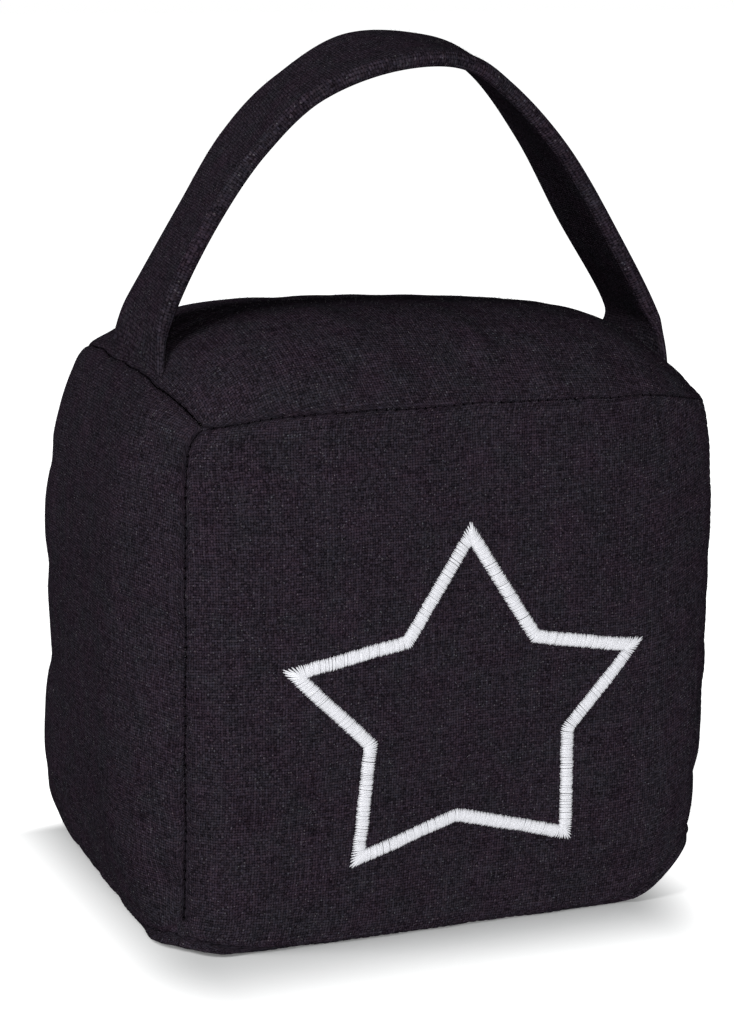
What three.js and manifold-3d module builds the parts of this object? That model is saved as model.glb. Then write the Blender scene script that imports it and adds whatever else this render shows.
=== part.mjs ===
// Weighted fabric door stop: a stuffed canvas block, sewn from six panels, with a folded strap
// handle sewn into its two top side seams and a satin-stitched star outline on its front.
// Units are millimetres. +X is to the right, +Y to the back, +Z up. The origin is the middle of
// the flat that the bottom panel rests on.

import * as THREE from 'three';
import { mergeVertices } from 'three/addons/utils/BufferGeometryUtils.js';
import Module from 'manifold-3d';

const wasm = await Module();
wasm.setup();

// The block, between its seams
const bodyWidth = 140;
const bodyDepth = 108;
const bodyHeight = 134;

// The canvas and its seams
const clothThickness = 1.2;
const seamGap = 0.3;
const seamTuck = 0.8;
const seamRoll = 2.6;

// How far the middle of each panel swells past the plane of its own seams
const frontCrown = 0.5;
const backCrown = 8;
const leftCrown = 6.5;
const rightCrown = 4;
const topCrown = 16;

// The filling: a flat bag of sand below, loose fibre above
const fillingClearance = 1.2;
const sandLevel = 64;
const fillingGap = 0.4;

// The strap handle
const handleWidth = 34;
const handleThickness = 4.2;
const handleFold = 1.2;
const handleFoldThickness = 2.4;
const handleRise = 80;
const handleSeat = 0.9;
const leftFootPlace = -5.5;
const rightFootPlace = -19;
const leftLegLean = 16;
const rightLegLean = 13;
const footBlend = 10;

// The strap's route between its feet: the share of the half width, the share of the half depth,
// and the share of the rise above the feet
const handleStops = [
  [-0.956, -0.167, 0.22],
  [-0.799, -0.213, 0.48],
  [-0.635, -0.259, 0.705],
  [-0.445, -0.343, 0.88],
  [-0.19, -0.389, 0.99],
  [0.1, -0.37, 0.997],
  [0.331, -0.343, 0.917],
  [0.556, -0.343, 0.69],
  [0.749, -0.361, 0.41],
  [0.956, -0.37, 0.096],
];

// How far the strap is turned about its own line at its left foot, at each stop and at its
// right foot, in degrees
const handleTurns = [4, -3, -5, -2, 1, 9, 8, 12, 8, 5, 7, 6];

// The star, as it is embroidered on the flat front panel, measured from the star's centre
const starCentreX = -2.7;
const starCentreZ = -10.8;
const starThreadWidth = 3.3;
const starThreadRise = 0.9;
const starUnderside = 0.18;
const starSeat = 0.3;
const starSpacing = 4.5;
const starOutline = [
  [0.5, 44.7], [18, 17], [44.8, 12.4], [27.2, -7.8], [28.3, -35.5],
  [-1.5, -27.3], [-27.3, -35.2], [-24.6, -6.2], [-43.7, 13.7], [-15.7, 19.1],
];

// The mesh: seam lines lie this far from a seam, with even lines between them
const linesAtSeam = [1, 2.6, 6.5];
const evenLines = { x: 8, y: 8, z: 8 };
const handleCells = { across: 8, through: 2, along: 44 };
const starSectionPoints = 8;
const weldDistance = 1e-4;

const half = { x: bodyWidth / 2, y: bodyDepth / 2, z: bodyHeight / 2 };
const axes = {
  x: new THREE.Vector3(1, 0, 0),
  y: new THREE.Vector3(0, 1, 0),
  z: new THREE.Vector3(0, 0, 1),
};

// Where the stuffing pulls or pushes each corner, away from the plain block's corner
const cornerShift = {
  frontBottomLeft: [-7.5, 4.5, 3],
  frontBottomRight: [-3, -0.5, 17.5],
  backBottomLeft: [-2.5, -3.5, 0],
  backBottomRight: [0.5, -1.5, 1],
  frontTopLeft: [0, 0, -0.5],
  frontTopRight: [0, -0.5, -2],
  backTopLeft: [4.5, -0.5, 1.5],
  backTopRight: [3.5, -2, -4.5],
};

// Each seam swells away from the straight line between its corners. The swelling may change
// from one end to the other, and a higher power keeps it nearly full up to the corners.
const plainPower = 4;
const frontLeftCorners = ['frontBottomLeft', 'frontTopLeft'];
const seams = {
  frontLeft: { ends: frontLeftCorners, bow: [1.5, 0, 0], bowEnd: [-5, 0, 0], power: 20 },
  frontRight: { ends: ['frontBottomRight', 'frontTopRight'], bow: [4.5, 1.5, 0] },
  backLeft: { ends: ['backBottomLeft', 'backTopLeft'], bow: [-4, 4.5, 0] },
  backRight: { ends: ['backBottomRight', 'backTopRight'], bow: [4.5, 5.5, 0] },
  topFront: { ends: ['frontTopLeft', 'frontTopRight'], bow: [0, -11.5, 4.5] },
  topBack: { ends: ['backTopLeft', 'backTopRight'], bow: [0, 3, -5.5] },
  topLeft: { ends: ['frontTopLeft', 'backTopLeft'], bow: [-7, 0, 9] },
  topRight: { ends: ['frontTopRight', 'backTopRight'], bow: [-3, 0, 8] },
  bottomFront: { ends: ['frontBottomLeft', 'frontBottomRight'], bow: [0, -15, -26], power: 14 },
  bottomBack: { ends: ['backBottomLeft', 'backBottomRight'], bow: [0, 3.5, -3] },
  bottomLeft: { ends: ['frontBottomLeft', 'backBottomLeft'], bow: [-6, 0, -7.5], power: 12 },
  bottomRight: { ends: ['frontBottomRight', 'backBottomRight'], bow: [6.5, 0, -20] },
};

// Each panel faces out between four seams: two run along its first direction u, and two run
// across them, along its second direction v
const panels = {
  front: {
    u: 'x', v: 'z', out: [0, -1, 0], crown: frontCrown,
    along: ['bottomFront', 'topFront'], across: ['frontLeft', 'frontRight'],
  },
  back: {
    u: 'x', v: 'z', out: [0, 1, 0], crown: backCrown,
    along: ['bottomBack', 'topBack'], across: ['backLeft', 'backRight'],
  },
  left: {
    u: 'y', v: 'z', out: [-1, 0, 0], crown: leftCrown,
    along: ['bottomLeft', 'topLeft'], across: ['frontLeft', 'backLeft'],
  },
  right: {
    u: 'y', v: 'z', out: [1, 0, 0], crown: rightCrown,
    along: ['bottomRight', 'topRight'], across: ['frontRight', 'backRight'],
  },
  top: {
    u: 'x', v: 'y', out: [0, 0, 1], crown: topCrown,
    along: ['topFront', 'topBack'], across: ['topLeft', 'topRight'],
  },
  bottom: {
    u: 'x', v: 'y', out: [0, 0, -1], crown: 0,
    along: ['bottomFront', 'bottomBack'], across: ['bottomLeft', 'bottomRight'],
  },
};

const canvas = new THREE.MeshStandardMaterial({ color: 0x252228, roughness: 0.95, metalness: 0 });
const strapCanvas = new THREE.MeshStandardMaterial({ color: 0x28252c, roughness: 0.95, metalness: 0 });
const thread = new THREE.MeshStandardMaterial({ color: 0xe6e6ea, roughness: 0.55, metalness: 0 });
const bagCloth = new THREE.MeshStandardMaterial({ color: 0xb9a98a, roughness: 0.9, metalness: 0 });
const fibre = new THREE.MeshStandardMaterial({ color: 0xe9e7e1, roughness: 1, metalness: 0 });

// A corner of the stuffed block: the plain block's corner, shifted
function cornerPoint(name) {
  const side = new THREE.Vector3(
    name.endsWith('Left') ? -half.x : half.x,
    name.startsWith('front') ? -half.y : half.y,
    name.includes('Top') ? bodyHeight : 0,
  );
  return side.add(new THREE.Vector3(...cornerShift[name]));
}

// What would hang below the floor is pressed flat on it
function onFloor(point) {
  point.z = Math.max(point.z, 0);
  return point;
}

// A point of a seam, with t running from -1 at its first corner to 1 at its second
function seamPoint(name, t) {
  const { ends, bow, bowEnd = bow, power = plainPower } = seams[name];
  const share = (t + 1) / 2;
  const swell = new THREE.Vector3(...bow).lerp(new THREE.Vector3(...bowEnd), share);
  swell.multiplyScalar(1 - Math.abs(t) ** power);
  return onFloor(cornerPoint(ends[0]).lerp(cornerPoint(ends[1]), share).add(swell));
}

// A point of a stuffed panel: the patch between its four seams, swollen in the middle
function panelPoint(panel, u, v) {
  const { along, across, out, crown } = panels[panel];
  const [shareU, shareV] = [(u + 1) / 2, (v + 1) / 2];
  const point = new THREE.Vector3();
  point.addScaledVector(seamPoint(along[0], u), 1 - shareV);
  point.addScaledVector(seamPoint(along[1], u), shareV);
  point.addScaledVector(seamPoint(across[0], v), 1 - shareU);
  point.addScaledVector(seamPoint(across[1], v), shareU);
  point.addScaledVector(seamPoint(along[0], -1), -(1 - shareU) * (1 - shareV));
  point.addScaledVector(seamPoint(along[0], 1), -shareU * (1 - shareV));
  point.addScaledVector(seamPoint(along[1], -1), -(1 - shareU) * shareV);
  point.addScaledVector(seamPoint(along[1], 1), -shareU * shareV);
  const swell = crown * (1 - Math.abs(u) ** plainPower) * (1 - Math.abs(v) ** plainPower);
  return onFloor(point.addScaledVector(new THREE.Vector3(...out), swell));
}

// How strongly the cloth is drawn in at a distance from a seam: a quarter round
function drawnIn(distance) {
  const across = Math.max(1 - distance / seamRoll, 0);
  return 1 - Math.sqrt(1 - across ** 2);
}

// A panel's cloth, drawn into the seams along its border. Both panels of a seam are drawn in
// along the same diagonal, so they meet on it.
function clothPoint(panel, u, v) {
  const sides = panels[panel];
  const nearU = drawnIn((1 - Math.abs(u)) * half[sides.u]);
  const nearV = drawnIn((1 - Math.abs(v)) * half[sides.v]);
  const point = panelPoint(panel, u, v);
  point[sides.u] -= Math.sign(u) * seamTuck * nearU;
  point[sides.v] -= Math.sign(v) * seamTuck * nearV;
  point.addScaledVector(new THREE.Vector3(...sides.out), -seamTuck * Math.max(nearU, nearV));
  return onFloor(point);
}

// The same point of a smaller copy of the block, which lies evenly inside the outer one
function insetPoint(point, inset) {
  const middle = new THREE.Vector3(0, 0, half.z);
  const shrink = new THREE.Vector3(1 - inset / half.x, 1 - inset / half.y, 1 - inset / half.z);
  return point.sub(middle).multiply(shrink).add(middle);
}

// Mesh lines along one side: fine beside both seams, even between them, and short of the
// border by the given margin
function meshLines(side, margin) {
  const reach = half[side];
  const inner = reach - linesAtSeam.at(-1);
  const count = evenLines[side];
  const even = Array.from({ length: count - 1 }, (_, i) => inner * (2 * (i + 1) / count - 1));
  const outer = [margin, ...linesAtSeam].map((distance) => reach - distance);
  const lines = [...outer.map((place) => -place), ...even, ...outer.reverse()];
  return lines.map((place) => place / reach);
}

// A plain geometry whose points are moved by a rule, as one closed mesh
function reshaped(geometry, rule) {
  geometry.deleteAttribute('normal');
  geometry.deleteAttribute('uv');
  const merged = mergeVertices(geometry, weldDistance);
  const { position } = merged.attributes;
  for (let i = 0; i < position.count; i += 1) {
    const moved = rule(new THREE.Vector3().fromBufferAttribute(position, i));
    position.setXYZ(i, moved.x, moved.y, moved.z);
  }
  merged.computeVertexNormals();
  return merged;
}

// Turns every triangle of a mesh over
function turnedOver(geometry) {
  const { index } = geometry;
  for (let i = 0; i < index.count; i += 3) {
    const second = index.getX(i + 1);
    index.setX(i + 1, index.getX(i + 2));
    index.setX(i + 2, second);
  }
  geometry.computeVertexNormals();
  return geometry;
}

// One cut panel: a slab with its outer face on the stuffed form and its inner face inside it
function panelGeometry(panel) {
  const { u, v, out } = panels[panel];
  const linesU = meshLines(u, seamGap / 2);
  const linesV = meshLines(v, seamGap / 2);
  const [cellsU, cellsV] = [linesU.length - 1, linesV.length - 1];
  const slab = new THREE.BoxGeometry(cellsU, cellsV, 1, cellsU, cellsV, 1);
  const shaped = reshaped(slab, ({ x, y, z }) => {
    const [placeU, placeV] = [linesU[Math.round(x + cellsU / 2)], linesV[Math.round(y + cellsV / 2)]];
    return insetPoint(clothPoint(panel, placeU, placeV), z > 0 ? 0 : clothThickness);
  });
  const slabOut = new THREE.Vector3().crossVectors(axes[u], axes[v]);
  return slabOut.dot(new THREE.Vector3(...out)) < 0 ? turnedOver(shaped) : shaped;
}

// The whole space inside the cloth, as a solid
function fillingSolid() {
  const lines = { x: meshLines('x', 0), y: meshLines('y', 0), z: meshLines('z', 0) };
  const count = { x: lines.x.length - 1, y: lines.y.length - 1, z: lines.z.length - 1 };
  const block = new THREE.BoxGeometry(count.x, count.y, count.z, count.x, count.y, count.z);
  const shaped = reshaped(block, (cell) => {
    const place = {};
    for (const side of Object.keys(axes)) {
      place[side] = lines[side][Math.round(cell[side] + count[side] / 2)];
    }
    return insetPoint(clothPoint(...panelAt(place)), clothThickness + fillingClearance);
  });
  return solidOf(shaped);
}

// The panel on which a point of the block's surface lies, and its place there
function panelAt({ x, y, z }) {
  if (Math.abs(y) === 1) return [y < 0 ? 'front' : 'back', x, z];
  if (Math.abs(x) === 1) return [x < 0 ? 'left' : 'right', y, z];
  return [z < 0 ? 'bottom' : 'top', x, y];
}

function solidOf(geometry) {
  return new wasm.Manifold(new wasm.Mesh({
    numProp: 3,
    vertProperties: new Float32Array(geometry.attributes.position.array),
    triVerts: new Uint32Array(geometry.index.array),
  }));
}

function geometryOf(solid) {
  const mesh = solid.getMesh();
  const geometry = new THREE.BufferGeometry();
  geometry.setAttribute('position', new THREE.BufferAttribute(mesh.vertProperties, 3));
  geometry.setIndex(new THREE.BufferAttribute(mesh.triVerts, 1));
  geometry.computeVertexNormals();
  return geometry;
}

// A point of the top panel beside the seam that holds a strap foot
function footPoint(side, along, inward) {
  const u = side * (1 - inward / half.x);
  const place = side < 0 ? leftFootPlace : rightFootPlace;
  return clothPoint('top', u, (place + along) / half.y).addScaledVector(axes.z, handleSeat);
}

// The direction in which a strap leg leaves its foot
function legDirection(side) {
  const lean = THREE.MathUtils.degToRad(side < 0 ? leftLegLean : rightLegLean);
  return new THREE.Vector3(-side * Math.sin(lean), 0, Math.cos(lean));
}

// A smooth line through its points
function lineThrough(points) {
  return new THREE.CatmullRomCurve3(points, false, 'catmullrom');
}

// The strap's centre line, from its left foot over the arch to its right foot
function handlePath() {
  const left = footPoint(-1, 0, handleThickness / 2);
  const right = footPoint(1, 0, handleThickness / 2);
  const low = (left.z + right.z) / 2;
  const between = handleStops.map(([x, y, rise]) => (
    new THREE.Vector3(x * half.x, y * half.y, low + rise * handleRise)
  ));
  return lineThrough([left, ...between, right]);
}

// The strap: a flat band with folded, thinner edges, bent and turned along the path. Its ends
// follow the top panel beside the seams that hold them.
function handleGeometry() {
  const path = handlePath();
  const turns = lineThrough(handleTurns.map((turn) => new THREE.Vector3(turn, 0, 0)));
  const length = path.getLength();
  const { across: cellsAcross, through: cellsThrough, along: cellsAlong } = handleCells;
  const [lastCell, flatCells] = [cellsAcross / 2, cellsAcross / 2 - 1];
  const sizes = [cellsAcross, cellsThrough, cellsAlong];
  return reshaped(new THREE.BoxGeometry(...sizes, ...sizes), ({ x, y, z }) => {
    const onEdge = Math.abs(x) === lastCell;
    const flat = handleWidth / 2 - handleFold;
    const across = onEdge ? Math.sign(x) * handleWidth / 2 : (x / flatCells) * flat;
    const through = y * (onEdge ? handleFoldThickness : handleThickness) / cellsThrough;

    const share = z / cellsAlong + 0.5;
    const tangent = path.getTangentAt(share);
    const level = axes.y.clone().addScaledVector(tangent, -tangent.y).normalize();
    const turn = THREE.MathUtils.degToRad(turns.getPoint(path.getUtoTmapping(share)).x);
    const wide = level.applyAxisAngle(tangent, turn);
    const out = new THREE.Vector3().crossVectors(tangent, wide);
    const onArch = path.getPointAt(share).addScaledVector(wide, across).addScaledVector(out, through);

    const side = share < 0.5 ? -1 : 1;
    const fromFoot = length * Math.min(share, 1 - share);
    const atFoot = footPoint(side, across, handleThickness / 2 - through)
      .addScaledVector(legDirection(side), fromFoot);
    return atFoot.lerp(onArch, THREE.MathUtils.smoothstep(fromFoot, 0, footBlend));
  });
}

// The star's stitch line as points on the flat front panel, no further apart than the spacing
function starStations() {
  const corners = starOutline.map(([x, z]) => new THREE.Vector2(starCentreX + x, starCentreZ + z));
  const stations = [];
  corners.forEach((corner, i) => {
    const next = corners[(i + 1) % corners.length];
    const before = corners.at(i - 1);
    const onward = next.clone().sub(corner).normalize();
    const backward = corner.clone().sub(before).normalize();
    const bisector = onward.clone().add(backward).normalize();
    const mitre = new THREE.Vector2(-bisector.y, bisector.x).divideScalar(bisector.dot(onward));
    stations.push({ place: corner, sideways: mitre });
    const square = new THREE.Vector2(-onward.y, onward.x);
    const steps = Math.ceil(corner.distanceTo(next) / starSpacing);
    for (let k = 1; k < steps; k += 1) {
      stations.push({ place: corner.clone().lerp(next, k / steps), sideways: square });
    }
  });
  return stations;
}

// A point above the front panel, from its place on the flat panel and its height above it
function aboveFront(place, height) {
  const cloth = (x, z) => clothPoint('front', x / half.x, z / half.z);
  const here = cloth(place.x, place.y);
  const right = cloth(place.x + 1, place.y).sub(here);
  const up = cloth(place.x, place.y + 1).sub(here);
  const out = new THREE.Vector3().crossVectors(right, up).normalize();
  return here.addScaledVector(out, height);
}

// The star: a closed ring of satin stitch, flat below and rounded above
function starGeometry() {
  const stations = starStations();
  const ringRadius = 2;
  const ring = new THREE.TorusGeometry(ringRadius, 1, starSectionPoints, stations.length);
  return reshaped(ring, (point) => {
    const turn = (Math.atan2(point.y, point.x) / (2 * Math.PI) + 1) % 1;
    const { place, sideways } = stations[Math.round(turn * stations.length) % stations.length];
    const inward = ringRadius - Math.hypot(point.x, point.y);
    const foot = place.clone().addScaledVector(sideways, inward * starThreadWidth / 2);
    const height = point.z * (point.z > 0 ? starThreadRise : starUnderside);
    return aboveFront(foot, starSeat + starUnderside + height);
  });
}

const doorStop = new THREE.Group();

function addPiece(name, geometry, material) {
  const piece = new THREE.Mesh(geometry, material);
  piece.name = name;
  doorStop.add(piece);
}

for (const panel of Object.keys(panels)) addPiece(`${panel}_panel`, panelGeometry(panel), canvas);

const filling = fillingSolid();
const sand = filling.trimByPlane([0, 0, -1], -sandLevel);
const loft = filling.trimByPlane([0, 0, 1], sandLevel + fillingGap);
addPiece('weight_bag', geometryOf(sand), bagCloth);
addPiece('wadding', geometryOf(loft), fibre);

addPiece('handle_strap', handleGeometry(), strapCanvas);
addPiece('star_embroidery', starGeometry(), thread);

export default doorStop;
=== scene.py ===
"""Weighted fabric door stop, dressed for its picture.

A block of six canvas panels is stuffed, sewn and stood on a pale floor. A folded canvas strap is
sewn into its two top side seams, and a five-pointed star is satin stitched on its front. The
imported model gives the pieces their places; everything here is in metres, in the same frame.
"""

from __future__ import annotations

import logging
import math
from contextlib import contextmanager
from dataclasses import dataclass, field
from enum import Enum
from typing import Iterator, Sequence

import bpy
import numpy as np
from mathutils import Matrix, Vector, noise


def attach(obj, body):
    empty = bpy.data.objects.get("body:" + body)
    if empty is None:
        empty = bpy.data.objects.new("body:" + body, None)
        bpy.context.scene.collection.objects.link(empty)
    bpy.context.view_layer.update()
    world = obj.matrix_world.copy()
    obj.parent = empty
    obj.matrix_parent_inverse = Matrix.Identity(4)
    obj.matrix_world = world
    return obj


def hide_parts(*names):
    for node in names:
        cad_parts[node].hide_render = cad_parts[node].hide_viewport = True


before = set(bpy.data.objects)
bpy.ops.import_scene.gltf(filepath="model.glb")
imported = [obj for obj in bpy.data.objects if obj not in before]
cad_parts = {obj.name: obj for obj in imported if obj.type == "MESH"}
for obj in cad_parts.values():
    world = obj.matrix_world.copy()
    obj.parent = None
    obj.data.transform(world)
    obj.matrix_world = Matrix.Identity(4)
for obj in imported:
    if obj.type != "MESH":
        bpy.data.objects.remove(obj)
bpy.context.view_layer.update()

log = logging.getLogger("door_stop")

MM = 0.001
ROOT = "root"
CLOTH_UV = "cloth"
SMOOTH_ANGLE = 60.0
CLOTH_ANGLE = 80.0
MERGE = 0.01
TOUCHING = 1e-5
NO_ZERO = 1e-12
FOUND_WAY = (0.31, -0.9, 0.17)
NEEDLE_STEP = 2.6

Array = np.ndarray


class Slot(Enum):
    """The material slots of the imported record."""

    CANVAS = "canvas"
    STRAP = "strap_canvas"
    THREAD = "thread"
    SAND_BAG = "sand_bag"
    FIBRE = "fibre"


class Side(Enum):
    """The six panels of the block."""

    FRONT = "front"
    BACK = "back"
    LEFT = "left"
    RIGHT = "right"
    TOP = "top"
    BOTTOM = "bottom"


def deselect_all() -> None:
    """Leave object mode with nothing selected."""
    if bpy.context.object and bpy.context.object.mode != "OBJECT":
        bpy.ops.object.mode_set(mode="OBJECT")
    bpy.ops.object.select_all(action="DESELECT")


def make_active(piece: bpy.types.Object) -> None:
    """Select one object alone, for the operators that follow."""
    deselect_all()
    piece.select_set(True)
    bpy.context.view_layer.objects.active = piece


def named(name: str) -> bpy.types.Object:
    """Name the active object and its mesh, and return it."""
    piece = bpy.context.object
    piece.name = name
    piece.data.name = name
    return piece


def coordinates(piece: bpy.types.Object) -> Array:
    """The vertices of a piece as an array of points."""
    points = np.empty(len(piece.data.vertices) * 3)
    piece.data.vertices.foreach_get("co", points)
    return points.reshape(-1, 3)


def set_coordinates(piece: bpy.types.Object, points: Array) -> None:
    """Move the vertices of a piece to new points."""
    piece.data.vertices.foreach_set("co", np.ascontiguousarray(points, dtype=float).ravel())
    piece.data.update()


def set_uv(piece: bpy.types.Object, places: Array) -> None:
    """Store each vertex's place on the flat cloth as the piece's own UV map.

    Args:
        piece: The piece of cloth.
        places: One pair of metres for each vertex.
    """
    layer = piece.data.uv_layers.get(CLOTH_UV) or piece.data.uv_layers.new(name=CLOTH_UV)
    corners = np.empty(len(piece.data.loops), dtype=np.int32)
    piece.data.loops.foreach_get("vertex_index", corners)
    layer.data.foreach_set("uv", places[corners].astype(np.float32).ravel())
    piece.data.uv_layers.active = layer


@contextmanager
def edit_mode(piece: bpy.types.Object) -> Iterator[None]:
    """Edit a piece with its whole mesh selected, and return to object mode afterwards."""
    make_active(piece)
    bpy.ops.object.mode_set(mode="EDIT")
    bpy.ops.mesh.select_all(action="SELECT")
    yield
    bpy.ops.object.mode_set(mode="OBJECT")


def apply_modifiers(piece: bpy.types.Object) -> None:
    """Apply every modifier of a piece, in order."""
    make_active(piece)
    for modifier in list(piece.modifiers):
        bpy.ops.object.modifier_apply(modifier=modifier.name)


def shade_smooth(piece: bpy.types.Object, degrees: float = SMOOTH_ANGLE) -> None:
    """Shade a piece smooth, with edges kept sharp above an angle."""
    make_active(piece)
    bpy.ops.object.shade_smooth_by_angle(angle=math.radians(degrees))


def grid_piece(name: str, columns: int, rows: int) -> bpy.types.Object:
    """Add a flat grid whose vertices run row by row, columns first.

    Args:
        name: The piece's name.
        columns: Number of vertices along X.
        rows: Number of vertices along Y.

    Returns:
        The grid object, to be shaped by its vertices.
    """
    deselect_all()
    bpy.ops.mesh.primitive_grid_add(x_subdivisions=columns - 1, y_subdivisions=rows - 1, size=2)
    return named(name)


def cut_cube(name: str, cuts: int) -> bpy.types.Object:
    """Add a cube two units wide, and cut each of its sides into a square grid.

    Args:
        name: The piece's name.
        cuts: The number of squares along each edge.

    Returns:
        The cube, to be shaped by its vertices.
    """
    deselect_all()
    bpy.ops.mesh.primitive_cube_add(size=2)
    piece = named(name)
    with edit_mode(piece):
        bpy.ops.mesh.subdivide(number_cuts=cuts - 1)
    return piece


def finish_piece(piece: bpy.types.Object, node: str | None) -> bpy.types.Object:
    """Hang a finished piece on the body, hide the CAD part that it stands for, and log its vertex count.

    Args:
        piece: The finished piece.
        node: The CAD node that it replaces, if any.

    Returns:
        The same piece.
    """
    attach(piece, ROOT)
    if node:
        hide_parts(node)
    log.info("%s: %d vertices", piece.name, len(piece.data.vertices))
    return piece


@dataclass(frozen=True)
class Wave:
    """One of the waves that a hand-guided line is made of."""

    height: float
    rate: float
    turn: float


def waving(waves: Sequence[Wave], place: Array, phase: float) -> Array:
    """Add up waves along a line.

    Args:
        waves: The waves, each with its height, its rate and how far the phase turns it.
        place: Places along the line.
        phase: What tells one line from another.

    Returns:
        The height at each place.
    """
    return sum(wave.height * np.sin(wave.rate * place + wave.turn * phase) for wave in waves)


@dataclass(frozen=True)
class Seam:
    """A sewn seam between two corners of the block, in millimetres."""

    start: str
    end: str
    bow: tuple[float, float, float]
    bow_end: tuple[float, float, float] | None = None
    power: float = 4.0


@dataclass(frozen=True)
class Lump:
    """A rise or a hollow in a panel: its place along u and v, its size and its height."""

    side: Side
    u: float
    v: float
    size: float
    height: float


@dataclass(frozen=True)
class PanelPlan:
    """How a panel lies between its seams: two along u, two across it along v."""

    along: tuple[str, str]
    across: tuple[str, str]
    axes: tuple[int, int]
    out: tuple[float, float, float]
    crown: float
    mirrored: bool


@dataclass
class StuffedForm:
    """The stuffed block as the filling shapes it: corners, bowed seams and crowned panels."""

    width: float = 140.0
    depth: float = 108.0
    height: float = 134.0
    corner_fold: float = 15.5
    stray: float = 0.16
    stray_end: int = 8
    stray_phase: tuple[float, float] = (1.3, 2.1)
    stray_waves: tuple[Wave, ...] = (Wave(1, 9.1, 1), Wave(0.7, 17.3, 2.3), Wave(0.4, 31, 1))
    edge_power: int = 4
    lip: float = 2.3
    lip_width: float = 2.6
    lip_gap: float = 0.5
    full_lip_lift: float = 2.0
    corner_lip: float = 0.45
    corner_ease: float = 5.0
    fold_slope: float = 1.2
    fold_foot: float = 3.0
    corner_shift: dict[str, tuple[float, float, float]] = field(default_factory=lambda: {
        "front_bottom_left": (-7.9, 2.4, 2.8),
        "front_bottom_right": (-3.6, -0.5, 16.8),
        "back_bottom_left": (-2.5, -3.5, 0),
        "back_bottom_right": (0.5, -1.5, 1),
        "front_top_left": (0, 0, -0.5),
        "front_top_right": (0, -0.5, -2),
        "back_top_left": (4.5, -0.5, 1.5),
        "back_top_right": (3.5, -2, -4.5),
    })
    seams: dict[str, Seam] = field(default_factory=lambda: {
        "front_left": Seam("front_bottom_left", "front_top_left", (1.5, 0, 0), (-5, 0, 0), 20),
        "front_right": Seam("front_bottom_right", "front_top_right", (5.3, 1.5, 0)),
        "back_left": Seam("back_bottom_left", "back_top_left", (-4, 4.5, 0)),
        "back_right": Seam("back_bottom_right", "back_top_right", (4.5, 5.5, 0)),
        "top_front": Seam("front_top_left", "front_top_right", (0, -11.5, 4.5)),
        "top_back": Seam("back_top_left", "back_top_right", (0, 3, -5.5)),
        "top_left": Seam("front_top_left", "back_top_left", (-7, 0, 9)),
        "top_right": Seam("front_top_right", "back_top_right", (-3, 0, 8)),
        "bottom_front": Seam("front_bottom_left", "front_bottom_right", (0, -12, -26), (0, -15.5, -26), 14),
        "bottom_back": Seam("back_bottom_left", "back_bottom_right", (0, 3.5, -3)),
        "bottom_left": Seam("front_bottom_left", "back_bottom_left", (-6, 0, -7.5), power=12),
        "bottom_right": Seam("front_bottom_right", "back_bottom_right", (6.5, 0, -20)),
    })
    plans: dict[Side, PanelPlan] = field(default_factory=lambda: {
        Side.FRONT: PanelPlan(
            ("bottom_front", "top_front"), ("front_left", "front_right"), (0, 2), (0, -1, 0), 0.5, False
        ),
        Side.BACK: PanelPlan(
            ("bottom_back", "top_back"), ("back_left", "back_right"), (0, 2), (0, 1, 0), 8.0, True
        ),
        Side.LEFT: PanelPlan(
            ("bottom_left", "top_left"), ("front_left", "back_left"), (1, 2), (-1, 0, 0), 6.5, True
        ),
        Side.RIGHT: PanelPlan(
            ("bottom_right", "top_right"), ("front_right", "back_right"), (1, 2), (1, 0, 0), 4.0, False
        ),
        Side.TOP: PanelPlan(
            ("top_front", "top_back"), ("top_left", "top_right"), (0, 1), (0, 0, 1), 16.0, False
        ),
        Side.BOTTOM: PanelPlan(
            ("bottom_front", "bottom_back"), ("bottom_left", "bottom_right"), (0, 1), (0, 0, -1), 0.0, True
        ),
    })
    lumps: tuple[Lump, ...] = (
        Lump(Side.LEFT, 0.6, 0.42, 0.26, 1.3),
        Lump(Side.LEFT, 0.6, -0.2, 0.3, -1.2),
        Lump(Side.LEFT, 0.5, -0.85, 0.32, 3.6),
        Lump(Side.FRONT, 0.1, -0.9, 0.45, -1.5),
        Lump(Side.FRONT, 0.8, -0.8, 0.25, 1.5),
    )

    def half(self, axis: int) -> float:
        """Half the plain block's size along an axis."""
        return (self.width, self.depth, self.height)[axis] / 2

    def corner(self, name: str) -> Array:
        """A corner of the stuffed block."""
        x = -self.half(0) if name.endswith("left") else self.half(0)
        y = -self.half(1) if name.startswith("front") else self.half(1)
        z = self.height if "top" in name else 0.0
        return np.array([x, y, z]) + np.array(self.corner_shift[name], dtype=float)

    def seam_points(self, name: str, t: Array) -> Array:
        """Points of a seam.

        Args:
            name: The seam's name.
            t: Places along it, from -1 at its start to 1 at its end.

        Returns:
            One point for each place, none below the floor.
        """
        seam = self.seams[name]
        share = ((t + 1) / 2)[..., None]
        bow = np.array(seam.bow, dtype=float)
        bow_end = np.array(seam.bow_end or seam.bow, dtype=float)
        swell = (bow * (1 - share) + bow_end * share) * (1 - np.abs(t) ** seam.power)[..., None]
        line = self.corner(seam.start) * (1 - share) + self.corner(seam.end) * share + swell
        line += self.wander(name, t)
        line[..., 2] = np.maximum(line[..., 2], 0)
        if name.startswith("bottom"):
            line[..., 2] = np.maximum(line[..., 2], self.lifted(seam, t))
        return line

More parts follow.
